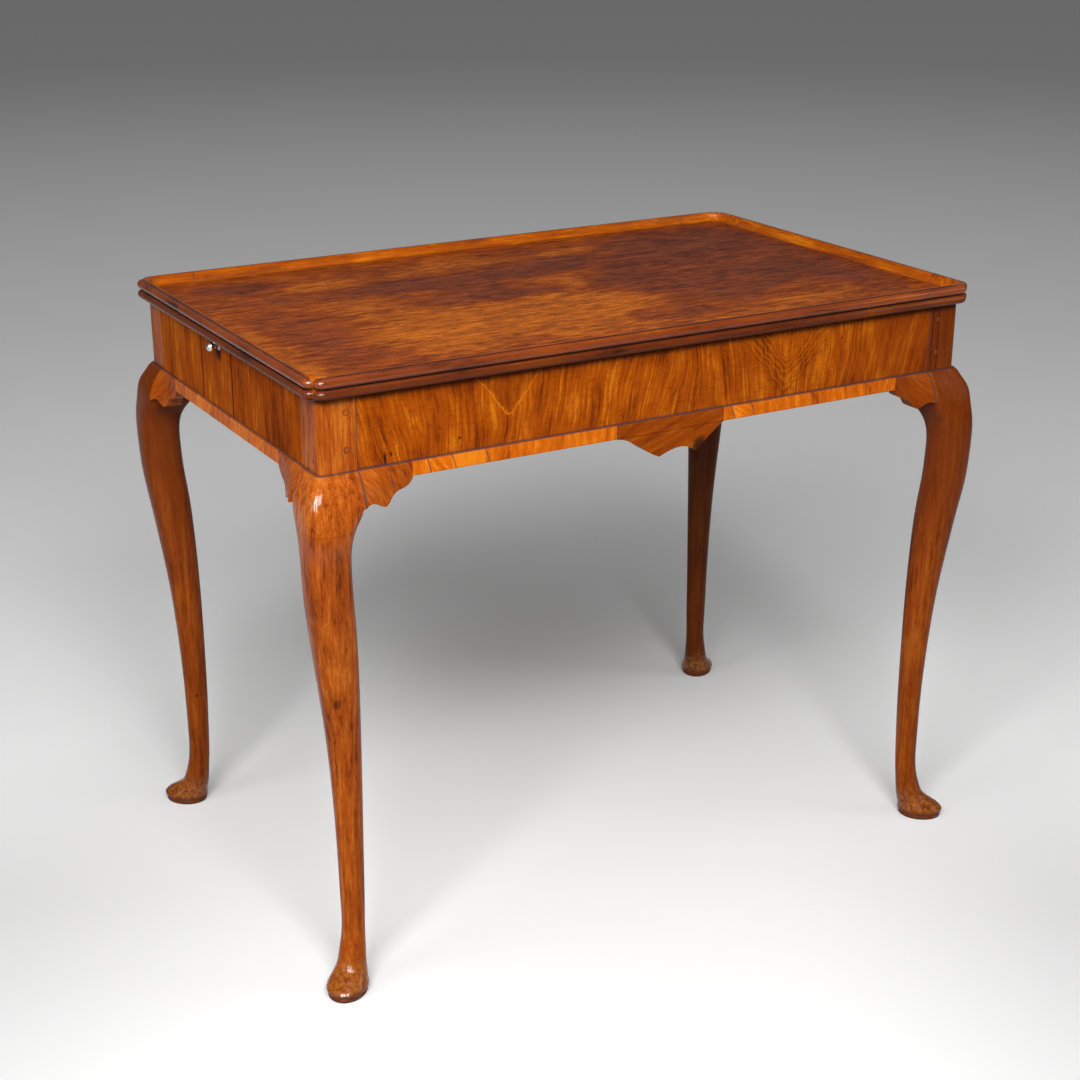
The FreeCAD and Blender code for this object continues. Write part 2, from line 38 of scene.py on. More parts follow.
# Places read from the frame, in metres
veneer_low, veneer_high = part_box("veneer_front")
rim_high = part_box("rim_front")[1]
tray_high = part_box("tray_board_front")[1]
drop_low, drop_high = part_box("drop_front")
knob_low, knob_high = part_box("slide_knob_left")
front_face = veneer_low.y
left_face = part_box("veneer_left")[0].x
ledge = veneer_low.z
apron_top = veneer_high.z
post_seam = veneer_high.x
tray_top = tray_high.z
rim_top = rim_high.z
board_joint = tray_high.y
rim_seam = rim_high.x
end_rim_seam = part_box("rim_left")[1].y
knob_place = (knob_low.y + knob_high.y) / 2
groove_share = 0.486
groove_height = apron_top + groove_share * (rim_top - apron_top)

# Old joints and cracks, in metres
long_band_seams = (-0.297, -0.268, -0.228, 0.088, 0.115, 0.283)
end_band_seams = (-0.118, -0.072, -0.010, 0.045, 0.092, 0.131)
end_veneer_seams = (-0.0170, 0.0760, 0.1830, -0.0900)
end_veneer_shares = (0.9, 0.75, 0.4, 0.3)
end_seam_wander = 0.004
bracket_seam = -0.341
knee_crack = 0.552
crack_wander = 0.006
front_left_limit = -0.3

# Pegs and the filled strip on the right posts, in metres
peg_place = 0.3865
peg_heights = (0.669, 0.629)
peg_ring_span = (0.0022, 0.0029)
strip_place = 0.3845
strip_half = 0.0040
strip_edges = (0.3800, 0.3890)

# Half widths of drawn lines, in metres, from the finest to the widest
finest_line = 0.0003
thin_line = 0.0004
fine_line = 0.0005
plain_line = 0.0006
firm_line = 0.0007
broad_line = 0.0008
bold_line = 0.0009
widest_line = 0.0012

# Soft edges measured from the ledge: start and end in metres
# The first two give painted shade and dust in the crease just above the ledge
long_crease_shade_span = (0.0030, 0.0012)
end_crease_shade_span = (0.0016, 0.0006)
ledge_dust_span = (-0.0008, -0.0002)
post_span = (0.0, 0.003)
below_post_span = (0.002, -0.002)
knee_edge_span = (0.001, -0.004)

# Soft edges measured from the top of the apron, the rim or the tray, or from the rim's groove, in metres
front_shade_span = (-0.010, -0.001)
rim_shade_span = (-0.010, 0.0)
crest_span = (-0.004, -0.002)
tray_crease_shade_span = (0.0022, 0.0002)
under_groove = 0.004
under_rim_edge = 0.001
rim_gleam_rise = 0.003

# Line and soft edges of the rim, measured outwards from the faces of the apron, in metres
rim_line_place = 0.0078
rim_face_span = (0.0035, 0.0060)
rim_joint_span = (-0.02, -0.01)

# Soft edges measured along the table or up from the floor, in metres
half_span = (-0.1, 0.1)
crack_start_span = (0.16, 0.19)
crack_end_span = (0.37, 0.34)
far_right_span = (0.20, 0.34)
knee_span = (0.30, 0.52)
knee_gleam_span = (0.50, 0.56)
foot_span = (0.052, 0.020)
foot_gleam_span = (0.045, 0.020)
disc_span = (0.0125, 0.0095)
bottom_dark_span = (0.0035, 0.0015)

# Grain and hanging V figures of the long veneers, in metres; a V has its axis, its tip and its steepness
grain_turn_span = (-0.03, 0.09)
left_grain_axis = -0.197
grain_axis_gap = 0.357
grain_middle = 0.645
grain_drift = 0.030
left_arch = (-0.199, 0.631, 1.35)
left_jag = 0.030
left_start_span = (0.0, 0.006)
left_end_span = (0.05, 0.01)
right_arch = (0.166, 0.604, 1.25)
right_sway = 0.040
right_start_span = (-0.001, 0.004)
right_end_span = (0.075, 0.020)
right_line_place = -0.001

# Lean of that grain, per metre, metres to a radian of the rings, and rounding of the tips, squared
grain_lean = 1.5
ring_radian = 0.0012
tip_rounding = 0.00006

# Single marks: centre and half sizes in metres, soft edge, wobble and wobble scale
burn_shift = 0.004
burn_mark = ((left_face, knob_place + burn_shift, 0.6725), (0.004, 0.0075, 0.009), 0.6, 0.008, 60.0)
long_hole = ((-0.344, front_face, 0.613), (0.0011, 0.004, 0.0065), 0.4)
round_hole = ((-0.337, front_face, 0.617), (0.0010, 0.004, 0.0025), 0.4)
bright_piece = ((-0.248, front_face, 0.598), (0.020, 0.02, 0.05), 0.04)
drop_chip = ((0.045, front_face, 0.567), (0.010, 0.02, 0.011), 0.4, 0.012, 60.0)
leg_knot = ((-0.414, -0.266, 0.356), (0.004, 0.012, 0.006), 0.4, 0.006, 90.0)
slide_stain = ((left_face, 0.014, 0.6807), (0.09, 0.05, 0.02), 0.4, 0.03)

# Faded and stained patches of the tray: centre X and Y, half length and half width in metres,
# soft edge, wobble and strength
faded_patches = (
    (-0.105, -0.115, 0.190, 0.098, 0.28, 0.090, 1.0),
    (-0.225, 0.020, 0.075, 0.060, 0.60, 0.080, 0.55),
    (0.020, 0.030, 0.065, 0.026, 0.45, 0.050, 0.70),
    (-0.225, 0.155, 0.052, 0.032, 0.40, 0.050, 0.80),
    (-0.045, 0.185, 0.085, 0.035, 0.60, 0.060, 0.55),
    (0.122, 0.178, 0.048, 0.018, 0.45, 0.040, 0.75),
    (0.270, -0.165, 0.066, 0.048, 0.30, 0.060, 0.75),
    (0.150, -0.218, 0.110, 0.016, 0.60, 0.040, 0.55),
    (0.190, 0.030, 0.030, 0.015, 0.70, 0.040, 0.45),
    (-0.394, -0.090, 0.016, 0.140, 0.60, 0.030, 0.60),
)
stained_patches = (
    (0.270, -0.010, 0.200, 0.160, 0.12, 0.070, 0.72),
    (0.300, 0.170, 0.130, 0.070, 0.30, 0.070, 0.85),
    (-0.060, 0.105, 0.200, 0.038, 0.35, 0.040, 0.80),
    (0.060, 0.120, 0.120, 0.040, 0.40, 0.040, 0.70),
    (-0.080, 0.020, 0.105, 0.046, 0.25, 0.060, 0.62),
    (0.065, -0.168, 0.062, 0.030, 0.25, 0.040, 0.72),
    (-0.330, 0.190, 0.055, 0.030, 0.50, 0.050, 0.75),
    (-0.330, 0.115, 0.085, 0.014, 0.60, 0.040, 0.50),
    (-0.330, -0.060, 0.055, 0.120, 0.50, 0.060, 0.30),
    (-0.140, -0.190, 0.034, 0.022, 0.35, 0.040, 0.50),
    (0.350, -0.060, 0.060, 0.140, 0.50, 0.050, 0.55),
)
patch_depth = 0.2
patch_wobble_scale = 16.0

# Shares of a colour or of a size
tray_dark_shares = (0.55, 0.50, 0.60)
tray_light_shares = (1.45, 1.55, 1.30)
drop_dark_share = 0.35
shin_shade_share = 0.5
tick_stretch_shares = (0.30, 1.0, 1.0)
wobble_stretch_shares = (0.45, 1.0, 1.0)
drift_stretch_shares = (0.5, 1.0, 1.0)
cloud_stretch_shares = (0.4, 1.0, 1.0)

# Figure and lean of the woods, and roughness of the metal; turns in radians, the relief in metres
noise_middle = 0.5
smear_middle = 0.45
streak_share = 0.7
pore_share = 0.8
pore_run_share = 3.0
relief_depth = 0.001
band_lean = 0.3
band_turn = 0.7
band_turn_range = 1.2
bracket_lean = 0.12
metal_rough = 0.22
tarnish_rough = 0.25

# Floor and the painted glow on it, in metres from the middle of the table
floor_reach = 30.0
glow_near = 0.3
glow_full = 1.5
glow_far = 9.0
glow_fall_share = 0.55
front_start = -0.6
front_full = 0.3
front_half = 0.75
front_far = 1.6
front_share = 0.9
side_near = 1.2
side_far = 3.0
side_share = 0.85
corner_shade_share = 0.16

# Lamps, in metres, and the camera's sensor, in millimetres
lamp_aim = (0.0, 0.0, 0.5)
key_places = {"key_left": (-1.70, -1.62, 2.20), "key_right": (-0.70, -2.28, 2.20)}
key_size = (0.9, 0.9)
top_place = (0.1, -0.8, 2.7)
top_size = (1.6, 1.0)
fill_place = (2.3, -1.7, 1.5)
fill_size = (1.0, 1.6)
side_place = (-2.7, -0.35, 1.5)
side_size = (1.2, 1.6)
strip_lamp_places = {"strip_near": (-2.00, -1.45, 1.75), "strip_far": (-1.45, -1.95, 1.75)}
strip_lamp_size = (0.24, 1.50)
sensor_width = 36.0


# Settings that a user would change

def number(label, about, value, **kind):
    return bpy.props.FloatProperty(name=label, description=about, default=value, **kind)


def length(label, about, value):
    return number(label, about, value, unit="LENGTH")


def power(label, about, value):
    return number(label, about, value, unit="POWER")


def angle(label, about, degrees):
    return number(label, about, math.radians(degrees), subtype="ANGLE")


def share(label, about, value):
    return number(label, about, value, subtype="FACTOR", min=0.0, max=1.0)


def colour(label, about, value):
    return bpy.props.FloatVectorProperty(
        name=label, description=about, subtype="COLOR", size=3, min=0.0, max=1.0, default=value,
    )


class WoodSettings(bpy.types.PropertyGroup):
    """Colours and grain of the woods"""
    tray_red: colour("Tray red", "Main colour of the tray boards", (0.310, 0.058, 0.007))
    tray_gold: colour("Tray gold", "Faded part of the tray boards", (0.490, 0.116, 0.009))
    tray_stain: colour("Tray stain", "Old dark stains on the tray boards", (0.190, 0.041, 0.017))
    rim_dark: colour("Rim dark", "Hollows and underside of the rim", (0.022, 0.005, 0.002))
    rim_red: colour("Rim red", "Outside of the rim", (0.230, 0.042, 0.008))
    rim_orange: colour("Rim orange", "Inside of the rim and its worn crest", (0.420, 0.086, 0.003))
    leg_dark: colour("Leg dark", "Darker grain of the legs", (0.150, 0.025, 0.002))
    leg_red: colour("Leg red", "Main colour of the legs", (0.390, 0.073, 0.005))
    leg_gold: colour("Leg gold", "Rubbed parts of the legs", (0.580, 0.150, 0.014))
    foot_gold: colour("Foot gold", "Rubbed tops of the feet", (0.500, 0.190, 0.030))
    veneer_dark: colour("Veneer dark", "Darker lines of the apron veneer", (0.165, 0.024, 0.001))
    veneer_orange: colour("Veneer orange", "Main colour of the apron veneer", (0.390, 0.070, 0.002))
    veneer_gold: colour("Veneer gold", "Bright lines of the apron veneer", (0.660, 0.175, 0.006))
    banding_dark: colour("Banding dark", "Darker streaks of the banding", (0.330, 0.055, 0.002))
    banding_orange: colour("Banding orange", "Main colour of the banding", (0.740, 0.150, 0.004))
    banding_gold: colour("Banding gold", "Bright streaks of the banding", (0.950, 0.280, 0.012))
    dust_and_shade: colour("Dust", "Old wax and dust in the seams", (0.060, 0.042, 0.044))
    pine_dark: colour("Pine dark", "Grain of the hidden pine", (0.150, 0.078, 0.032))
    pine_pale: colour("Pine pale", "Main colour of the hidden pine", (0.330, 0.200, 0.095))
    metal: colour("Metal", "Metal of the knobs", (0.600, 0.560, 0.500))
    streak_width: length("Streak width", "Width of the broad streaks", 0.0060)
    cloud_width: length("Cloud width", "Size of the slow changes of tone", 0.045)
    fibre_width: length("Fibre width", "Width of the fine streaks", 0.0010)
    gloss: share("Gloss", "How sharp the polish is", 0.78)


class StageSettings(bpy.types.PropertyGroup):
    """Camera, lights and floor"""
    camera_place: bpy.props.FloatVectorProperty(
        name="Camera place", description="Where the camera stands", subtype="TRANSLATION", unit="LENGTH",
        size=3, default=(-1.1247, -1.9363, 1.2208),
    )
    camera_turn: angle("Camera turn", "Turn of the camera to the right of the back", 29.804)
    camera_dip: angle("Camera dip", "How far the camera looks down", 20.657)
    camera_lens: number("Lens", "Focal length in millimetres", 63.17, subtype="DISTANCE_CAMERA")
    floor_colour: colour("Floor", "Colour of the floor as the camera sees it", (0.93, 0.93, 0.93))
    floor_glow: colour("Floor glow", "Colour of the floor in the light it throws back", (0.34, 0.34, 0.34))
    painted_glow_grey: colour("Haze", "Grey of the floor far behind", (0.170, 0.170, 0.170))
    sky_colour: colour("Sky", "Colour of the room around the floor", (0.13, 0.13, 0.13))
    key_power: power("Key", "Main pair of softboxes", 85.0)
    strip_power: power("Strips", "Gleams in the polish", 50.0)
    fill_power: power("Fill", "Softbox on the right", 8.0)
    side_power: power("Side", "Softbox on the left", 15.0)
    top_power: power("Top", "Softbox overhead", 4.0)
    room_light: share("Room light", "Light from the room all round", 0.48)


# Building node trees

def plug(tree, socket, value):
    """Links a socket, or sets its plain value."""
    if isinstance(value, bpy.types.NodeSocket):
        tree.links.new(value, socket)
    elif socket.type == "RGBA":
        socket.default_value = (value[0], value[1], value[2], 1.0)
    else:
        socket.default_value = value


def add(tree, kind, inputs=None, **settings):
    node = tree.nodes.new(kind)
    for name, value in settings.items():
        setattr(node, name, value)
    for key, value in (inputs or {}).items():
        plug(tree, node.inputs[key], value)
    return node


def calc(tree, operation, *values):
    return add(tree, "ShaderNodeMath", dict(enumerate(values)), operation=operation).outputs[0]


def vector_calc(tree, operation, *values):
    return add(tree, "ShaderNodeVectorMath", dict(enumerate(values)), operation=operation).outputs[0]


def vector_length(tree, vector):
    return add(tree, "ShaderNodeVectorMath", {0: vector}, operation="LENGTH").outputs["Value"]


def fade(tree, value, start, end):
    """0 up to start, 1 from end, smooth between."""
    inputs = {"Value": value, "From Min": start, "From Max": end}
    return add(tree, "ShaderNodeMapRange", inputs, interpolation_type="SMOOTHSTEP").outputs["Result"]


def level(tree, parts, span, base=0.0):
    """A soft edge across the height, with its start and end measured from a base."""
    return fade(tree, parts["Z"], base + span[0], base + span[1])


def blend(tree, factor, first, second, mode="MIX"):
    node = add(tree, "ShaderNodeMix", {0: factor, 6: first, 7: second}, data_type="RGBA", blend_type=mode)
    return node.outputs[2]


def most(tree, *masks):
    """The strongest of some masks."""
    whole = masks[0]
    for mask in masks[1:]:
        whole = calc(tree, "MAXIMUM", whole, mask)
    return whole


def part_of(tree, mask, strength):
    """A mask at part of its strength, or only within another mask."""
    return calc(tree, "MULTIPLY", mask, strength)


def cover(tree, base, paint, mask, strength):
    """Lays a colour over another where a mask shows, at part of its strength."""
    return blend(tree, part_of(tree, mask, strength), base, paint)


def noise(tree, vector, scale, detail=2.0, rough=0.5, output="Fac"):
    inputs = {"Vector": vector, "Scale": scale, "Detail": detail, "Roughness": rough}
    return add(tree, "ShaderNodeTexNoise", inputs).outputs[output]


def centred(tree, value):
    """A noise moved to lie around zero."""
    return calc(tree, "SUBTRACT", value, noise_middle)


def swing(tree, value, amount, base):
    """A base value moved up and down by a noise."""
    return calc(tree, "MULTIPLY_ADD", centred(tree, value), amount, base)


def split(tree, vector):
    return add(tree, "ShaderNodeSeparateXYZ", {0: vector}).outputs


def combine(tree, x, y, z):
    return add(tree, "ShaderNodeCombineXYZ", {0: x, 1: y, 2: z}).outputs[0]


def new_group(name, inputs, outputs):
    """An empty node group, and its inner ends; an input has a plain value or the kind of its socket."""
    tree = bpy.data.node_groups.new(name, "ShaderNodeTree")
    for label, value in inputs.items():
        kind = value if isinstance(value, str) else {float: "Float", tuple: "Vector"}[type(value)]
        socket = tree.interface.new_socket(label, in_out="INPUT", socket_type="NodeSocket" + kind)
        if kind != value:
            socket.default_value = value
    for label in outputs:
        kind = "Color" if label == "Color" else "Float"
        tree.interface.new_socket(label, in_out="OUTPUT", socket_type="NodeSocket" + kind)
    return tree, tree.nodes.new("NodeGroupInput").outputs, tree.nodes.new("NodeGroupOutput").inputs


# Shared effects

def figure_group():
    """Streaks, fibres, pores and slow clouds of a wood whose grain runs along X."""
    inputs = {
        "Vector": "Vector", "Streak Width": 0.006, "Fibre Width": 0.001, "Run": 14.0, "Cloud Width": 0.06,
    }
    tree, given, out = new_group("Wood figure", inputs, ("Streak", "Fibre", "Pores", "Cloud"))
    shrink = calc(tree, "DIVIDE", 1.0, given["Run"])
    long = vector_calc(tree, "MULTIPLY", given["Vector"], combine(tree, shrink, 1.0, 1.0))
    shorter = calc(tree, "MULTIPLY", shrink, pore_run_share)
    short = vector_calc(tree, "MULTIPLY", given["Vector"], combine(tree, shorter, 1.0, 1.0))
    broad = calc(tree, "DIVIDE", streak_share, given["Streak Width"])
    fine = calc(tree, "DIVIDE", 1.0, given["Fibre Width"])
    plug(tree, out["Streak"], noise(tree, long, broad, detail=4.0, rough=0.62))
    plug(tree, out["Fibre"], noise(tree, long, fine, rough=0.6))
    small = noise(tree, short, calc(tree, "MULTIPLY", fine, pore_share), detail=1.0)
    plug(tree, out["Pores"], fade(tree, small, start=0.64, end=0.74))
    slow = calc(tree, "DIVIDE", 1.0, given["Cloud Width"])
    stretched = vector_calc(tree, "MULTIPLY", given["Vector"], cloud_stretch_shares)
    plug(tree, out["Cloud"], noise(tree, stretched, slow, detail=4.0, rough=0.6))
    return tree


def tone_group():
    """Turns a figure into a colour between a dark, a middle and a light tone."""
    inputs = {
        "Streak": 0.5, "Fibre": 0.5, "Pores": 0.0, "Cloud": 0.5, "Dark": "Color", "Middle": "Color",
        "Light": "Color", "Contrast": 1.0, "Mottle": 1.0,
    }
    tree, given, out = new_group("Wood tones", inputs, ("Color",))
    tone = noise_middle
    weights = (("Streak", 2.4, "Contrast"), ("Fibre", 1.3, "Contrast"), ("Cloud", 1.8, "Mottle"))
    for name, weight, strength in weights:
        change = calc(tree, "MULTIPLY", centred(tree, given[name]), weight)
        tone = calc(tree, "MULTIPLY_ADD", change, given[strength], tone)
    lower = blend(tree, fade(tree, tone, start=-0.1, end=0.5), given["Dark"], given["Middle"])
    upper = blend(tree, fade(tree, tone, start=0.5, end=1.1), lower, given["Light"])
    plug(tree, out["Color"], cover(tree, upper, given["Dark"], given["Pores"], strength=0.6))
    return tree


def patch_group():
    """A soft oval patch whose edge wanders along the grain."""
    inputs = {
        "Vector": "Vector", "Centre": "Vector", "Radii": (1.0, 1.0, 1.0), "Edge": 0.3, "Wobble": 0.0,
        "Wobble Scale": 12.0,
    }
    tree, given, out = new_group("Patch", inputs, ("Mask",))
    stretched = vector_calc(tree, "MULTIPLY", given["Vector"], wobble_stretch_shares)
    drift = noise(tree, stretched, given["Wobble Scale"], detail=6.0, rough=0.74, output="Color")
    around_zero = vector_calc(tree, "SUBTRACT", drift, (noise_middle, noise_middle, noise_middle))
    scaling = {0: around_zero, "Scale": given["Wobble"]}
    push = add(tree, "ShaderNodeVectorMath", scaling, operation="SCALE").outputs[0]
    moved = vector_calc(tree, "ADD", given["Vector"], push)
    local = vector_calc(tree, "SUBTRACT", moved, given["Centre"])
    far = vector_length(tree, vector_calc(tree, "DIVIDE", local, given["Radii"]))
    outer = calc(tree, "ADD", 1.0, given["Edge"])
    inner = calc(tree, "SUBTRACT", 1.0, given["Edge"])
    plug(tree, out["Mask"], fade(tree, far, outer, inner))
    return tree


def seam_group():
    """A thin line where a coordinate has one value."""
    tree, given, out = new_group("Seam", {"Value": 0.0, "Place": 0.0, "Half Width": thin_line}, ("Mask",))
    away = calc(tree, "ABSOLUTE", calc(tree, "SUBTRACT", given["Value"], given["Place"]))
    wide = calc(tree, "MULTIPLY", given["Half Width"], 2.0)
    plug(tree, out["Mask"], fade(tree, away, wide, given["Half Width"]))
    return tree


def polish_group():
    """Roughness and surface height of an old hand polish."""
    inputs = {"Vector": "Vector", "Roughness": 0.25, "Spread": 0.12, "Pores": 0.0}
    tree, given, out = new_group("Old polish", inputs, ("Roughness", "Height"))
    smear = noise(tree, given["Vector"], scale=22.0, detail=4.0, rough=0.6)
    change = calc(tree, "MULTIPLY", calc(tree, "SUBTRACT", smear, smear_middle), given["Spread"])
    dull = part_of(tree, given["Pores"], strength=0.15)
    plug(tree, out["Roughness"], calc(tree, "ADD", given["Roughness"], calc(tree, "ADD", change, dull)))
    ripple = part_of(tree, noise(tree, given["Vector"], scale=45.0), strength=0.8)
    pits = part_of(tree, given["Pores"], strength=0.35)
    plug(tree, out["Height"], calc(tree, "SUBTRACT", ripple, pits))
    return tree


groups = {}


def build_groups():
    groups.update(figure=figure_group(), tones=tone_group(), patch=patch_group())
    groups.update(seam=seam_group(), polish=polish_group())


def use_group(tree, name, inputs):
    """Places a shared effect in a material and gives it its values."""
    return add(tree, "ShaderNodeGroup", inputs, node_tree=groups[name]).outputs


# Parts of a material

def new_material(name):
    material = bpy.data.materials.new(name)
    material.use_nodes = True
    tree = material.node_tree
    tree.nodes.clear()
    shader = tree.nodes.new("ShaderNodeBsdfPrincipled")
    end = tree.nodes.new("ShaderNodeOutputMaterial")
    tree.links.new(shader.outputs[0], end.inputs["Surface"])
    return material, tree, shader


def coordinates(tree):
    return add(tree, "ShaderNodeTexCoord").outputs["Object"]


def new_surface(name):
    """An empty material with the object's coordinates, whole and in parts."""
    material, tree, shader = new_material(name)
    place = coordinates(tree)
    return material, tree, shader, place, split(tree, place)


def grain_vector(tree, vector, along):
    """The object's coordinates turned so that the grain runs along X."""
    parts = split(tree, vector)
    order = {"x": ("X", "Y", "Z"), "y": ("Y", "X", "Z"), "z": ("Z", "X", "Y")}[along]
    return combine(tree, *(parts[axis] for axis in order))


def slanted(tree, vector, turn):
    """A grain vector turned in the plane of the face."""
    inputs = {"Vector": vector, "Angle": turn}
    return add(tree, "ShaderNodeVectorRotate", inputs, rotation_type="Z_AXIS").outputs[0]


def patch(tree, vector, centre, radii, edge, wobble=0.0, wobble_scale=12.0):
    inputs = {
        "Vector": vector, "Centre": centre, "Radii": radii, "Edge": edge, "Wobble": wobble,
        "Wobble Scale": wobble_scale,
    }
    return use_group(tree, "patch", inputs)["Mask"]


def seam(tree, value, place, half_width):
    return use_group(tree, "seam", {"Value": value, "Place": place, "Half Width": half_width})["Mask"]


def figure(tree, vector, wood, run=14.0, streak_scale=1.0, fibre_scale=1.0, cloud_scale=1.0):
    inputs = {
        "Vector": vector, "Streak Width": wood.streak_width * streak_scale,
        "Fibre Width": wood.fibre_width * fibre_scale, "Run": run,
        "Cloud Width": wood.cloud_width * cloud_scale,
    }
    return use_group(tree, "figure", inputs)


def tones(tree, marks, dark, middle, light, contrast=1.0, mottle=1.0):
    inputs = {name: marks[name] for name in ("Streak", "Fibre", "Pores", "Cloud")}
    inputs.update({"Dark": dark, "Middle": middle, "Light": light, "Contrast": contrast, "Mottle": mottle})
    return use_group(tree, "tones", inputs)["Color"]


def polish(tree, shader, vector, marks, paint, roughness, shine, spread=0.12, bump=0.10):
    """Gives the shader its colour, old polish and fine relief."""
    inputs = {"Vector": vector, "Roughness": roughness, "Spread": spread, "Pores": marks["Pores"]}
    finish = use_group(tree, "polish", inputs)
    height = {"Height": finish["Height"], "Strength": bump, "Distance": relief_depth}
    relief = add(tree, "ShaderNodeBump", height).outputs[0]
    plug(tree, shader.inputs["Base Color"], paint)
    plug(tree, shader.inputs["Roughness"], finish["Roughness"])
    plug(tree, shader.inputs["Normal"], relief)
    shader.inputs["Specular IOR Level"].default_value = shine


def wax_coat(tree, shader, mask, roughness):
    """A clear layer of wax that gleams where a mask shows."""
    plug(tree, shader.inputs["Coat Weight"], mask)
    shader.inputs["Coat Roughness"].default_value = roughness


def wear(material, *names):
    """Puts a material on CAD nodes."""
    for name in names:
        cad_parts[name].data.materials.clear()
        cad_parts[name].data.materials.append(material)


def nodes_named(*starts):
    return [name for name in sorted(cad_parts) if name.startswith(starts)]


def rough_of(wood, extra):
    return 1.0 - wood.gloss + extra


def flecks(tree, place, scale, amount):
    """Small dark worm holes and bruises, sparse and round."""
    cells = add(tree, "ShaderNodeTexVoronoi", {"Vector": place, "Scale": scale}).outputs
    chosen = calc(tree, "GREATER_THAN", split(tree, cells["Color"])["X"], 1.0 - amount)
    return calc(tree, "MULTIPLY", fade(tree, cells["Distance"], start=0.16, end=0.07), chosen)


def rim_shade(tree, parts, span, strength):
    """Soft shade on the apron just under the rim."""
    return part_of(tree, level(tree, parts, span, apron_top), strength)


def ledge_dust(tree, parts, base, wood):
    """Dust on the top edge of a piece that stands proud of the veneer."""
    top = level(tree, parts, ledge_dust_span, ledge)
    return cover(tree, base, wood.dust_and_shade, top, strength=0.7)


# Tray

def tray_patches(tree, place, rows):
    """The strongest of a list of soft patches on the tray."""
    masks = []
    for x, y, half_length, half_width, edge, wobble, strength in rows:
        radii = (half_length, half_width, patch_depth)
        oval = patch(tree, place, (x, y, tray_top), radii, edge, wobble, patch_wobble_scale)
        masks.append(part_of(tree, oval, strength))
    return most(tree, *masks)


def tray_material(wood):
    material, tree, shader, place, parts = new_surface("tray_field")
    grain = grain_vector(tree, place, "x")
    marks = figure(tree, grain, wood, run=5.0, streak_scale=0.62, fibre_scale=2.2, cloud_scale=0.7)
    faded = tray_patches(tree, place, faded_patches)
    mood = calc(tree, "SUBTRACT", faded, tray_patches(tree, place, stained_patches))
    stretched = vector_calc(tree, "MULTIPLY", place, drift_stretch_shares)
    mood = swing(tree, noise(tree, stretched, scale=17.0, detail=5.0, rough=0.62), amount=1.5, base=mood)
    mood = swing(tree, marks["Streak"], amount=1.4, base=mood)
    shady = blend(tree, fade(tree, mood, start=0.15, end=-0.95), wood.tray_red, wood.tray_stain)
    ground = blend(tree, fade(tree, mood, start=-0.05, end=1.0), shady, wood.tray_gold)
    dark = blend(tree, 1.0, ground, tray_dark_shares, "MULTIPLY")
    light = blend(tree, 1.0, ground, tray_light_shares, "MULTIPLY")
    retoned = tones(tree, marks, dark, ground, light, contrast=1.5, mottle=0.6)
    long_place = vector_calc(tree, "MULTIPLY", place, wobble_stretch_shares)
    bruises = flecks(tree, long_place, scale=60.0, amount=0.14)
    bruised = cover(tree, retoned, wood.rim_dark, bruises, strength=0.6)
    joint = seam(tree, parts["Y"], board_joint, finest_line)
    start = fade(tree, parts["X"], *crack_start_span)
    open_part = part_of(tree, start, fade(tree, parts["X"], *crack_end_span))
    joined = cover(tree, bruised, wood.rim_dark, joint, strength=0.5)
    cracked = cover(tree, joined, wood.leg_gold, part_of(tree, joint, open_part), strength=0.8)
    roughness = rough_of(wood, extra=0.20)
    polish(tree, shader, place, marks, cracked, roughness, shine=0.10, spread=0.16, bump=0.08)
    return material


def rim_material(wood, name, along):
    material, tree, shader, place, parts = new_surface(name)
    marks = figure(tree, grain_vector(tree, place, along), wood, run=16.0, streak_scale=0.6)
    wide = calc(tree, "ABSOLUTE", parts["X"])
    deep = calc(tree, "ABSOLUTE", parts["Y"])
    past_end = calc(tree, "SUBTRACT", wide, -left_face)
    past_side = calc(tree, "SUBTRACT", deep, -front_face)
    outside = most(tree, past_end, past_side)
    outer = tones(tree, marks, wood.rim_dark, wood.rim_red, wood.rim_orange, contrast=0.5)
    inner = tones(tree, marks, wood.rim_red, wood.rim_orange, wood.veneer_gold, contrast=0.9)
    facing_out = fade(tree, outside, *rim_face_span)
    sided = blend(tree, facing_out, inner, outer)
    crest = level(tree, parts, crest_span, rim_top)
    line = part_of(tree, seam(tree, outside, rim_line_place, thin_line), crest)
    groove = part_of(tree, seam(tree, parts["Z"], groove_height, plain_line), facing_out)
    # Painted shade darkens the outside below the groove and the crease where the rim meets the tray; the
    # groove holds painted shade and dirt, and a dark line runs beside the crest
    low = fade(tree, parts["Z"], groove_height - under_groove, apron_top + under_rim_edge)
    under_shade = part_of(tree, part_of(tree, low, facing_out), strength=0.6)
    tray_crease_shade = part_of(tree, level(tree, parts, tray_crease_shade_span, tray_top), strength=0.45)
    hollow_shade_and_dirt = most(tree, part_of(tree, line, strength=0.8), groove, under_shade, tray_crease_shade)
    darkened = blend(tree, hollow_shade_and_dirt, sided, wood.rim_dark)
    over_side = fade(tree, past_side, *rim_joint_span)
    long_joint = part_of(tree, seam(tree, wide, rim_seam, thin_line), over_side)
    over_end = fade(tree, past_end, *rim_joint_span)
    end_joint = part_of(tree, seam(tree, deep, end_rim_seam, thin_line), over_end)
    jointed = cover(tree, darkened, wood.dust_and_shade, most(tree, long_joint, end_joint), strength=0.7)
    roughness = rough_of(wood, extra=-0.06)
    polish(tree, shader, place, marks, jointed, roughness, shine=0.10, spread=0.10, bump=0.08)
    beads = fade(tree, parts["Z"], apron_top + rim_gleam_rise, groove_height)
    gleam = part_of(tree, part_of(tree, facing_out, beads), strength=0.45)
    wax_coat(tree, shader, gleam, roughness=0.13)
    return material


# Apron

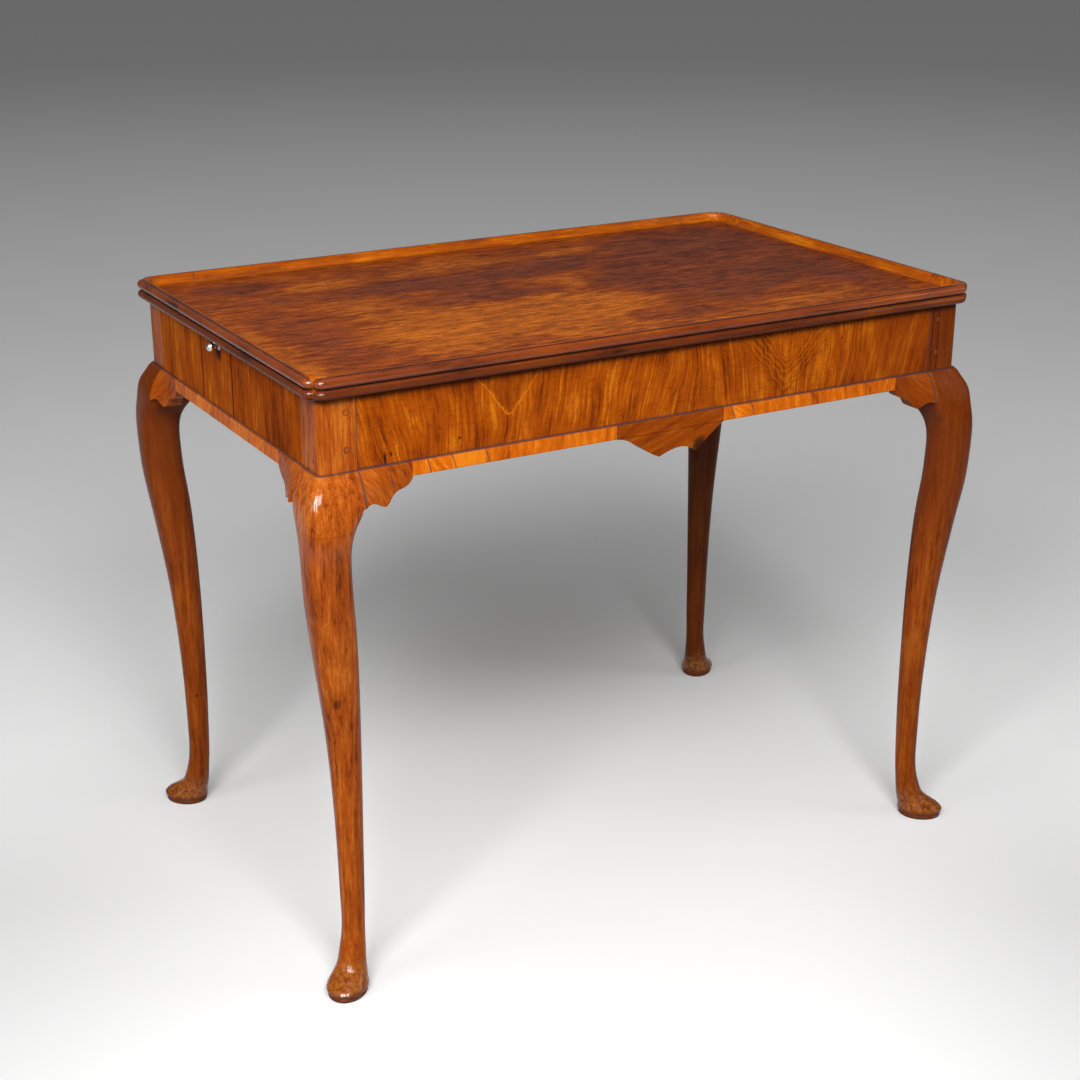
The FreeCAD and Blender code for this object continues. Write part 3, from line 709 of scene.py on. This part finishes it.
def arch(tree, parts, axis, tip, steepness, wander):
    """Height above a hanging V in the veneer; zero on the V itself."""
    x = calc(tree, "SUBTRACT", parts["X"], axis)
    round_x = calc(tree, "SQRT", calc(tree, "MULTIPLY_ADD", x, x, tip_rounding))
    side = calc(tree, "MULTIPLY", round_x, steepness)
    height = calc(tree, "SUBTRACT", calc(tree, "SUBTRACT", parts["Z"], tip), side)
    return calc(tree, "ADD", height, wander)


def long_grain(tree, place, parts):
    """Upright grain that spreads to the top on each side of the two Vs."""
    to_right = fade(tree, parts["X"], *grain_turn_span)
    axis = calc(tree, "MULTIPLY_ADD", to_right, grain_axis_gap, left_grain_axis)
    lean = calc(tree, "MULTIPLY", calc(tree, "SUBTRACT", parts["X"], axis), grain_lean)
    rise = calc(tree, "SUBTRACT", parts["Z"], grain_middle)
    across = calc(tree, "SUBTRACT", parts["X"], calc(tree, "MULTIPLY", lean, rise))
    drifting = swing(tree, noise(tree, place, scale=9.0), grain_drift, across)
    return combine(tree, parts["Z"], drifting, parts["Y"])


def left_figure(tree, place, parts, base, wood):
    """A V with one bright line and darker wood inside."""
    jag = centred(tree, noise(tree, place, scale=42.0, detail=4.0, rough=0.62))
    height = arch(tree, parts, *left_arch, calc(tree, "MULTIPLY", jag, left_jag))
    inside = part_of(tree, fade(tree, height, *left_start_span), fade(tree, height, *left_end_span))
    darker = cover(tree, base, wood.veneer_dark, inside, strength=0.4)
    return cover(tree, darker, wood.veneer_gold, seam(tree, height, 0.0, firm_line), strength=0.75)


def right_figure(tree, place, parts, base, wood):
    """A dark V filled with light and dark rings."""
    sway = centred(tree, noise(tree, place, scale=30.0))
    height = arch(tree, parts, *right_arch, calc(tree, "MULTIPLY", sway, right_sway))
    rings = calc(tree, "SINE", calc(tree, "DIVIDE", height, ring_radian))
    inside = part_of(tree, fade(tree, height, *right_start_span), fade(tree, height, *right_end_span))
    light = part_of(tree, fade(tree, rings, start=0.1, end=1.0), part_of(tree, inside, strength=0.34))
    dark = part_of(tree, fade(tree, rings, start=-0.2, end=-1.0), part_of(tree, inside, strength=0.20))
    golden = blend(tree, light, base, wood.veneer_gold)
    nested = blend(tree, dark, golden, wood.veneer_dark)
    line = seam(tree, height, right_line_place, bold_line)
    return cover(tree, nested, wood.veneer_dark, line, strength=0.45)


def veneer_long_material(wood):
    material, tree, shader, place, parts = new_surface("apron_veneer_long")
    grain = long_grain(tree, place, parts)
    marks = figure(tree, grain, wood, run=26.0, streak_scale=0.42, fibre_scale=0.9, cloud_scale=0.62)
    woods = (wood.veneer_dark, wood.veneer_orange, wood.veneer_gold)
    plain = tones(tree, marks, *woods, contrast=0.72, mottle=1.2)
    stretched = vector_calc(tree, "MULTIPLY", place, tick_stretch_shares)
    speckle = fade(tree, noise(tree, stretched, scale=420.0), start=0.50, end=0.72)
    ticks = part_of(tree, speckle, strength=0.35)
    # Painted shade darkens the right end of the veneer; the ticks are dark marks in the grain
    right_end_shade = part_of(tree, fade(tree, parts["X"], *far_right_span), strength=0.30)
    retoned = blend(tree, most(tree, ticks, right_end_shade), plain, wood.veneer_dark)
    with_left = left_figure(tree, place, parts, retoned, wood)
    figured = right_figure(tree, place, parts, with_left, wood)
    worm_holes = part_of(tree, flecks(tree, place, scale=70.0, amount=0.03), strength=0.8)
    holes = most(tree, patch(tree, place, *long_hole), patch(tree, place, *round_hole), worm_holes)
    shade = rim_shade(tree, parts, front_shade_span, strength=0.92)
    # Worm holes and the painted shade under the rim darken the veneer
    marked_and_shaded = blend(tree, most(tree, holes, shade), figured, wood.rim_dark)
    # Painted shade and dust in the crease just above the ledge, and dark seams beside the posts
    low = part_of(tree, level(tree, parts, long_crease_shade_span, ledge), strength=0.9)
    beside_posts = seam(tree, calc(tree, "ABSOLUTE", parts["X"]), post_seam, bold_line)
    darkened = cover(tree, marked_and_shaded, wood.dust_and_shade, most(tree, low, beside_posts), strength=0.75)
    polish(tree, shader, place, marks, darkened, rough_of(wood, extra=0.06), shine=0.05)
    return material


def veneer_end_material(wood):
    material, tree, shader, place, parts = new_surface("apron_veneer_end")
    marks = figure(tree, grain_vector(tree, place, "z"), wood, run=10.0, streak_scale=0.7)
    woods = (wood.veneer_dark, wood.veneer_orange, wood.veneer_gold)
    plain = tones(tree, marks, *woods, contrast=0.75, mottle=1.2)
    wander = calc(tree, "MULTIPLY_ADD", noise(tree, place, scale=30.0), end_seam_wander, parts["Y"])
    joints = []
    for at, strength in zip(end_veneer_seams, end_veneer_shares):
        joints.append(part_of(tree, seam(tree, wander, at, widest_line), strength))
    burn = part_of(tree, patch(tree, place, *burn_mark), strength=0.9)
    shade = rim_shade(tree, parts, rim_shade_span, strength=0.85)
    # Joints, the burn and the painted shade under the rim darken the veneer
    marked_and_shaded = blend(tree, most(tree, most(tree, *joints), shade, burn), plain, wood.rim_dark)
    # Painted shade and dust in the crease just above the ledge
    low = level(tree, parts, end_crease_shade_span, ledge)
    darkened = cover(tree, marked_and_shaded, wood.dust_and_shade, low, strength=0.75)
    polish(tree, shader, place, marks, darkened, rough_of(wood, extra=0.06), shine=0.004)
    return material


def banding_material(wood, name, along, seam_places):
    """Cross-grained strips pieced from short lengths that differ in tone."""
    material, tree, shader, place, parts = new_surface(name)
    run = parts[along]
    lean = calc(tree, "MULTIPLY", calc(tree, "SUBTRACT", parts["Z"], ledge), band_lean)
    leaning = calc(tree, "ADD", run, lean)
    piece = calc(tree, "GREATER_THAN", leaning, seam_places[0])
    for at in seam_places[1:]:
        piece = calc(tree, "ADD", piece, calc(tree, "GREATER_THAN", leaning, at))
    joints = most(tree, *(seam(tree, leaning, at, fine_line) for at in seam_places))
    shade = add(tree, "ShaderNodeTexWhiteNoise", {"W": piece}, noise_dimensions="1D").outputs["Value"]
    turn = calc(tree, "MULTIPLY_ADD", shade, band_turn_range, band_turn)
    grain = slanted(tree, combine(tree, run, parts["Z"], 0.0), turn)
    marks = figure(tree, grain, wood, run=7.0, streak_scale=0.8)
    strip = tones(tree, marks, wood.banding_dark, wood.banding_orange, wood.banding_gold)
    toned = cover(tree, strip, wood.banding_dark, shade, strength=0.22)
    lit = cover(tree, toned, wood.banding_gold, patch(tree, place, *bright_piece), strength=0.6)
    seams = cover(tree, lit, wood.dust_and_shade, joints, strength=0.7)
    dusty = ledge_dust(tree, parts, seams, wood)
    polish(tree, shader, place, marks, dusty, rough_of(wood, extra=0.06), shine=0.06)
    return material


def drop_material(wood):
    material, tree, shader, place, parts = new_surface("drop_wood")
    grain = slanted(tree, combine(tree, parts["X"], parts["Z"], parts["Y"]), turn=-0.35)
    marks = figure(tree, grain, wood, run=9.0, streak_scale=0.9)
    plain = tones(tree, marks, wood.veneer_dark, wood.veneer_orange, wood.veneer_gold, contrast=0.9)
    deeper = blend(tree, drop_dark_share, plain, wood.veneer_dark)
    chipped = cover(tree, deeper, wood.rim_dark, patch(tree, place, *drop_chip), strength=0.85)
    ends = most(tree, *(seam(tree, parts["X"], at, plain_line) for at in (drop_low.x, drop_high.x)))
    seams = cover(tree, chipped, wood.dust_and_shade, ends, strength=0.7)
    dusty = ledge_dust(tree, parts, seams, wood)
    polish(tree, shader, place, marks, dusty, rough_of(wood, extra=0.06), shine=0.06)
    return material


# Legs and brackets

def shade_legs(tree, parts, plain, wood):
    """Painted shade: darkens the legs on the right and at the back, most of all at their knees, and the back
    right leg most, as if in the table's shadow.
    """
    right = part_of(tree, fade(tree, parts["X"], *half_span), strength=0.82)
    below_post = level(tree, parts, below_post_span, ledge)
    back = part_of(tree, part_of(tree, fade(tree, parts["Y"], *half_span), below_post), strength=0.85)
    knee = level(tree, parts, knee_span)
    up_the_leg = calc(tree, "MULTIPLY_ADD", knee, 1.0 - shin_shade_share, shin_shade_share)
    retoned = blend(tree, part_of(tree, most(tree, right, back), up_the_leg), plain, wood.leg_dark)
    return cover(tree, retoned, wood.rim_dark, part_of(tree, right, back), strength=0.75)


def foot_colour(tree, place, parts, base, wood):
    """Rubbed gold on the top of the foot, with dark bruises, and a darker bottom edge."""
    low = level(tree, parts, foot_span)
    speckle = fade(tree, noise(tree, place, scale=190.0, detail=4.0, rough=0.7), start=0.40, end=0.62)
    browned = cover(tree, base, wood.leg_dark, low, strength=0.45)
    rubbed = cover(tree, browned, wood.foot_gold, part_of(tree, low, speckle), strength=0.55)
    spots = part_of(tree, low, flecks(tree, place, scale=170.0, amount=0.45))
    bruised = cover(tree, rubbed, wood.rim_dark, spots, strength=0.85)
    reddened = cover(tree, bruised, wood.leg_dark, level(tree, parts, disc_span), strength=0.75)
    # Darker at the very bottom of the foot
    return cover(tree, reddened, wood.rim_dark, level(tree, parts, bottom_dark_span), strength=0.8)


def filled_post(tree, parts, base, wood):
    """An upright filled strip with dark edges on the right posts."""
    upper = level(tree, parts, post_span, ledge)
    strip = part_of(tree, seam(tree, parts["X"], strip_place, strip_half), upper)
    filled = cover(tree, base, wood.veneer_dark, strip, strength=0.6)
    edges = most(tree, *(seam(tree, parts["X"], at, fine_line) for at in strip_edges))
    return cover(tree, filled, wood.rim_dark, part_of(tree, edges, upper), strength=0.7)


def leg_gleam(tree, parts, front_left):
    """Wax on the front left knee, under the ledge, and on the feet."""
    under_ledge = level(tree, parts, knee_edge_span, ledge)
    knee_top = part_of(tree, level(tree, parts, knee_gleam_span), under_ledge)
    knee = part_of(tree, part_of(tree, knee_top, front_left), strength=0.55)
    return most(tree, knee, part_of(tree, level(tree, parts, foot_gleam_span), strength=0.5))


def leg_material(wood):
    material, tree, shader, place, parts = new_surface("leg_wood")
    marks = figure(tree, grain_vector(tree, place, "z"), wood, streak_scale=0.6)
    plain = tones(tree, marks, wood.leg_dark, wood.leg_red, wood.leg_gold, contrast=1.10)
    # The legs get painted shade on the right and at the back, then their feet are coloured
    footed = foot_colour(tree, place, parts, shade_legs(tree, parts, plain, wood), wood)
    knot = part_of(tree, patch(tree, place, *leg_knot), strength=0.6)
    crack_height = calc(tree, "MULTIPLY_ADD", noise(tree, place, scale=40.0), crack_wander, parts["Z"])
    front_left = calc(tree, "LESS_THAN", calc(tree, "ADD", parts["X"], parts["Y"]), front_left_limit)
    crack = part_of(tree, seam(tree, crack_height, knee_crack, finest_line), front_left)
    holes = part_of(tree, flecks(tree, place, scale=60.0, amount=0.05), strength=0.75)
    flaws = most(tree, knot, part_of(tree, crack, strength=0.3), holes)
    filled = filled_post(tree, parts, blend(tree, flaws, footed, wood.rim_dark), wood)
    shaded = blend(tree, rim_shade(tree, parts, rim_shade_span, strength=0.85), filled, wood.rim_dark)
    dusty = cover(tree, shaded, wood.dust_and_shade, seam(tree, parts["Z"], ledge, fine_line), strength=0.7)
    roughness = rough_of(wood, extra=-0.06)
    polish(tree, shader, place, marks, dusty, roughness, shine=0.06, spread=0.10, bump=0.08)
    wax_coat(tree, shader, leg_gleam(tree, parts, front_left), roughness=0.08)
    return material


def bracket_material(wood):
    material, tree, shader, place, parts = new_surface("bracket_wood")
    run = calc(tree, "ADD", parts["X"], parts["Y"])
    grain = slanted(tree, combine(tree, run, parts["Z"], 0.0), turn=1.1)
    marks = figure(tree, grain, wood, run=7.0, streak_scale=0.45)
    worn = tones(tree, marks, wood.veneer_dark, wood.leg_red, wood.leg_gold, contrast=0.9)
    # Painted shade: the brackets on the right side are darkened
    plain = cover(tree, worn, wood.veneer_dark, fade(tree, parts["X"], *half_span), strength=0.60)
    rise = calc(tree, "SUBTRACT", parts["Z"], ledge)
    leaning = calc(tree, "MULTIPLY_ADD", rise, bracket_lean, parts["X"])
    front = calc(tree, "LESS_THAN", parts["Y"], front_face / 2)
    crack = part_of(tree, seam(tree, leaning, bracket_seam, thin_line), front)
    beside_posts = seam(tree, calc(tree, "ABSOLUTE", parts["X"]), post_seam, broad_line)
    seams = cover(tree, plain, wood.dust_and_shade, most(tree, crack, beside_posts), strength=0.7)
    dusty = ledge_dust(tree, parts, seams, wood)
    polish(tree, shader, place, marks, dusty, rough_of(wood, extra=0.02), shine=0.10)
    return material


# Hidden wood, slides, pegs and knobs

def pine_material(wood):
    material, tree, shader = new_material("carcase_pine")
    place = coordinates(tree)
    marks = figure(tree, grain_vector(tree, place, "x"), wood, run=12.0, streak_scale=1.5)
    plain = tones(tree, marks, wood.pine_dark, wood.pine_pale, wood.pine_pale)
    grime = fade(tree, noise(tree, place, scale=15.0, detail=4.0), start=0.45, end=0.70)
    darkened = cover(tree, plain, wood.pine_dark, grime, strength=0.5)
    polish(tree, shader, place, marks, darkened, roughness=0.75, shine=0.1, spread=0.1, bump=0.25)
    return material


def slide_material(wood):
    material, tree, shader = new_material("slide_wood")
    place = coordinates(tree)
    marks = figure(tree, grain_vector(tree, place, "x"), wood, run=16.0, streak_scale=1.2)
    plain = tones(tree, marks, wood.leg_dark, wood.leg_red, wood.leg_gold, contrast=0.9)
    stained = cover(tree, plain, wood.leg_dark, patch(tree, place, *slide_stain), strength=0.3)
    polish(tree, shader, place, marks, stained, rough_of(wood, extra=0.16), shine=0.2)
    return material


def peg_material(wood):
    """End grain with a thin dark ring around each peg."""
    material, tree, shader, place, parts = new_surface("peg_oak")
    marks = figure(tree, grain_vector(tree, place, "z"), wood, run=2.0, streak_scale=0.3)
    new = tones(tree, marks, wood.leg_dark, wood.leg_red, wood.leg_gold, contrast=0.8)
    # Painted shade: the pegs on the right side are darkened
    plain = cover(tree, new, wood.leg_dark, fade(tree, parts["X"], *half_span), strength=0.45)
    x = calc(tree, "SUBTRACT", calc(tree, "ABSOLUTE", parts["X"]), peg_place)
    heights = [calc(tree, "ABSOLUTE", calc(tree, "SUBTRACT", parts["Z"], at)) for at in peg_heights]
    z = calc(tree, "MINIMUM", *heights)
    squares = [calc(tree, "MULTIPLY", side, side) for side in (x, z)]
    radius = calc(tree, "SQRT", calc(tree, "ADD", *squares))
    ring = fade(tree, radius, *peg_ring_span)
    ringed = cover(tree, plain, wood.rim_dark, ring, strength=0.85)
    polish(tree, shader, place, marks, ringed, roughness=0.4, shine=0.2)
    return material


def metal_material(wood):
    material, tree, shader = new_material("knob_metal")
    spots = noise(tree, coordinates(tree), scale=420.0, detail=4.0, rough=0.65)
    tarnish = fade(tree, spots, start=0.45, end=0.70)
    plug(tree, shader.inputs["Base Color"], cover(tree, wood.metal, wood.pine_dark, tarnish, strength=0.55))
    plug(tree, shader.inputs["Roughness"], calc(tree, "MULTIPLY_ADD", tarnish, tarnish_rough, metal_rough))
    shader.inputs["Metallic"].default_value = 1.0
    return material


# Stage

def seen_rays(tree):
    """1 for the rays that show the background: to the camera, in polish and through glass."""
    path = tree.nodes.new("ShaderNodeLightPath").outputs
    return most(tree, path["Is Camera Ray"], path["Is Glossy Ray"], path["Is Transmission Ray"])


def floor_material(stage):
    """A matt floor whose pale look comes from its colour and a painted glow: painted light rising away from
    the table and falling off far behind, a pool of painted light in front, painted light at the sides and
    painted shade in the front corners; little light is thrown back on the wood.
    """
    material, tree, shader, place, parts = new_surface("floor")
    seen = seen_rays(tree)
    far = vector_length(tree, place)
    rising = fade(tree, far, glow_near, glow_full)
    falling = calc(tree, "MULTIPLY_ADD", fade(tree, far, glow_full * 2, glow_far), -glow_fall_share, 1.0)
    turn_sine = math.sin(stage.camera_turn)
    turn_cosine = math.cos(stage.camera_turn)
    aside = calc(tree, "MULTIPLY", parts["X"], -turn_sine)
    nearer = calc(tree, "MULTIPLY_ADD", parts["Y"], -turn_cosine, aside)
    sideways = calc(tree, "MULTIPLY", parts["X"], turn_cosine)
    off_line = calc(tree, "ABSOLUTE", calc(tree, "MULTIPLY_ADD", parts["Y"], -turn_sine, sideways))
    central = fade(tree, off_line, front_half, front_half / 3)
    beside = fade(tree, off_line, front_half / 4, front_half)
    close = fade(tree, far, front_far, front_half)
    front = part_of(tree, fade(tree, nearer, front_start, front_full), front_share)
    glow = part_of(tree, front, part_of(tree, central, close))
    # Painted light: a glow that rises away from the table, falls off far behind and pools in front
    strength = calc(tree, "MULTIPLY_ADD", rising, falling, glow)
    behind = part_of(tree, fade(tree, nearer, front_full, -front_full), fade(tree, far, side_far, side_near))
    side = part_of(tree, part_of(tree, behind, side_share), beside)
    in_front = part_of(tree, fade(tree, nearer, 0.0, front_full), close)
    # Painted shade in the front corners
    corner_shade = part_of(tree, beside, in_front)
    ground = cover(tree, stage.floor_colour, stage.painted_glow_grey, corner_shade, corner_shade_share)
    plug(tree, shader.inputs["Base Color"], blend(tree, seen, stage.floor_glow, ground))
    # The painted glow shows only to the camera and in polish
    painted_glow = part_of(tree, calc(tree, "ADD", strength, side), seen)
    plug(tree, shader.inputs["Emission Color"], blend(tree, painted_glow, (0.0, 0.0, 0.0), stage.painted_glow_grey))
    shader.inputs["Emission Strength"].default_value = 1.0
    shader.inputs["Roughness"].default_value = 0.9
    shader.inputs["Specular IOR Level"].default_value = 0.0
    return material


def area_light(name, place, size, watts):
    data = bpy.data.lights.new(name, "AREA")
    data.shape = "RECTANGLE"
    data.size, data.size_y = size
    data.energy = watts
    lamp = bpy.data.objects.new(name, data)
    lamp.location = place
    lamp.rotation_euler = (Vector(lamp_aim) - Vector(place)).to_track_quat("-Z", "Y").to_euler()
    bpy.context.scene.collection.objects.link(lamp)
    return lamp


def make_lamps(stage):
    for name, place in key_places.items():
        area_light(name, place, key_size, stage.key_power / 2)
    area_light("top", top_place, top_size, stage.top_power)
    area_light("fill", fill_place, fill_size, stage.fill_power)
    area_light("side", side_place, side_size, stage.side_power)
    for name, place in strip_lamp_places.items():
        strip = area_light(name, place, strip_lamp_size, stage.strip_power)
        strip.visible_diffuse = False


def make_world(stage):
    world = bpy.data.worlds.new("Studio")
    world.use_nodes = True
    tree = world.node_tree
    tree.nodes.clear()
    backgrounds = []
    for strength in (stage.room_light, 1.0):
        inputs = {"Color": stage.sky_colour, "Strength": strength}
        backgrounds.append(add(tree, "ShaderNodeBackground", inputs).outputs[0])
    around, seen = backgrounds
    mixed = add(tree, "ShaderNodeMixShader", {0: seen_rays(tree), 1: around, 2: seen}).outputs[0]
    end = tree.nodes.new("ShaderNodeOutputWorld")
    tree.links.new(mixed, end.inputs["Surface"])
    bpy.context.scene.world = world


def make_floor(stage):
    shape = bmesh.new()
    bmesh.ops.create_grid(shape, x_segments=1, y_segments=1, size=floor_reach)
    mesh = bpy.data.meshes.new("floor")
    shape.to_mesh(mesh)
    shape.free()
    floor = bpy.data.objects.new("floor", mesh)
    mesh.materials.append(floor_material(stage))
    bpy.context.scene.collection.objects.link(floor)


def make_camera(stage):
    data = bpy.data.cameras.new("photo_view")
    data.lens = stage.camera_lens
    data.sensor_width = sensor_width
    camera = bpy.data.objects.new("photo_view", data)
    camera.location = stage.camera_place
    camera.rotation_euler = (math.pi / 2 - stage.camera_dip, 0.0, -stage.camera_turn)
    bpy.context.scene.collection.objects.link(camera)
    bpy.context.scene.camera = camera


# Operators

class TEATABLE_OT_tray(bpy.types.Operator):
    """Finish the tray boards and the moulded rim"""
    bl_idname = "tea_table.tray"
    bl_label = "Finish the tray"

    def execute(self, context):
        wood = context.scene.tea_table_wood
        wear(tray_material(wood), *nodes_named("tray_board"))
        long_rim = rim_material(wood, "rim_wood_long", "x")
        end_rim = rim_material(wood, "rim_wood_end", "y")
        wear(long_rim, "rim_front", "rim_back", *nodes_named("rim_corner"))
        wear(end_rim, "rim_left", "rim_right")
        return {"FINISHED"}


class TEATABLE_OT_apron(bpy.types.Operator):
    """Finish the veneers, bandings and drops of the apron"""
    bl_idname = "tea_table.apron"
    bl_label = "Finish the apron"

    def execute(self, context):
        wood = context.scene.tea_table_wood
        wear(veneer_long_material(wood), "veneer_front", "veneer_back")
        wear(veneer_end_material(wood), "veneer_left", "veneer_right", *nodes_named("slide_lip"))
        long_band = banding_material(wood, "banding_wood_long", "X", long_band_seams)
        end_band = banding_material(wood, "banding_wood_end", "Y", end_band_seams)
        wear(long_band, *nodes_named("banding_front", "banding_back"))
        wear(end_band, "banding_left", "banding_right")
        wear(drop_material(wood), *nodes_named("drop"))
        return {"FINISHED"}


class TEATABLE_OT_legs(bpy.types.Operator):
    """Finish the legs, brackets and pegs"""
    bl_idname = "tea_table.legs"
    bl_label = "Finish the legs"

    def execute(self, context):
        wood = context.scene.tea_table_wood
        wear(leg_material(wood), *nodes_named("leg"))
        wear(bracket_material(wood), *nodes_named("bracket"))
        wear(peg_material(wood), "tenon_pegs")
        return {"FINISHED"}


class TEATABLE_OT_slides(bpy.types.Operator):
    """Finish the candle slides and the wood inside the frame"""
    bl_idname = "tea_table.slides"
    bl_label = "Finish the slides"

    def execute(self, context):
        wood = context.scene.tea_table_wood
        inside = nodes_named("rail", "slide_runner", "slide_stop", "slide_cleat")
        wear(pine_material(wood), "glue_blocks", *inside)
        wear(slide_material(wood), *nodes_named("slide_board"))
        wear(metal_material(wood), *nodes_named("slide_knob"))
        return {"FINISHED"}


class TEATABLE_OT_stage(bpy.types.Operator):
    """Make the floor, the lights and the camera"""
    bl_idname = "tea_table.stage"
    bl_label = "Set the stage"

    def execute(self, context):
        stage = context.scene.tea_table_stage
        context.scene.view_settings.view_transform = "Standard"
        make_world(stage)
        make_floor(stage)
        make_camera(stage)
        make_lamps(stage)
        return {"FINISHED"}


class TEATABLE_PT_panel(bpy.types.Panel):
    """Lists the steps of the table in the sidebar"""
    bl_idname = "TEATABLE_PT_panel"
    bl_label = "Tea Table"
    bl_space_type = "VIEW_3D"
    bl_region_type = "UI"
    bl_category = "Tea Table"

    def draw(self, context):
        for step in steps:
            self.layout.operator(step.bl_idname)
        for settings in (context.scene.tea_table_wood, context.scene.tea_table_stage):
            box = self.layout.box()
            for name in settings.__annotations__:
                box.prop(settings, name)


steps = (TEATABLE_OT_tray, TEATABLE_OT_apron, TEATABLE_OT_legs, TEATABLE_OT_slides, TEATABLE_OT_stage)
classes = (WoodSettings, StageSettings) + steps + (TEATABLE_PT_panel,)


def register():
    for cls in classes:
        bpy.utils.register_class(cls)
    bpy.types.Scene.tea_table_wood = bpy.props.PointerProperty(type=WoodSettings)
    bpy.types.Scene.tea_table_stage = bpy.props.PointerProperty(type=StageSettings)


def unregister():
    del bpy.types.Scene.tea_table_stage
    del bpy.types.Scene.tea_table_wood
    for cls in reversed(classes):
        bpy.utils.unregister_class(cls)


def main():
    register()
    build_groups()
    bpy.ops.tea_table.tray()
    bpy.ops.tea_table.apron()
    bpy.ops.tea_table.legs()
    bpy.ops.tea_table.slides()
    bpy.ops.tea_table.stage()


if __name__ == "__main__":
    main()
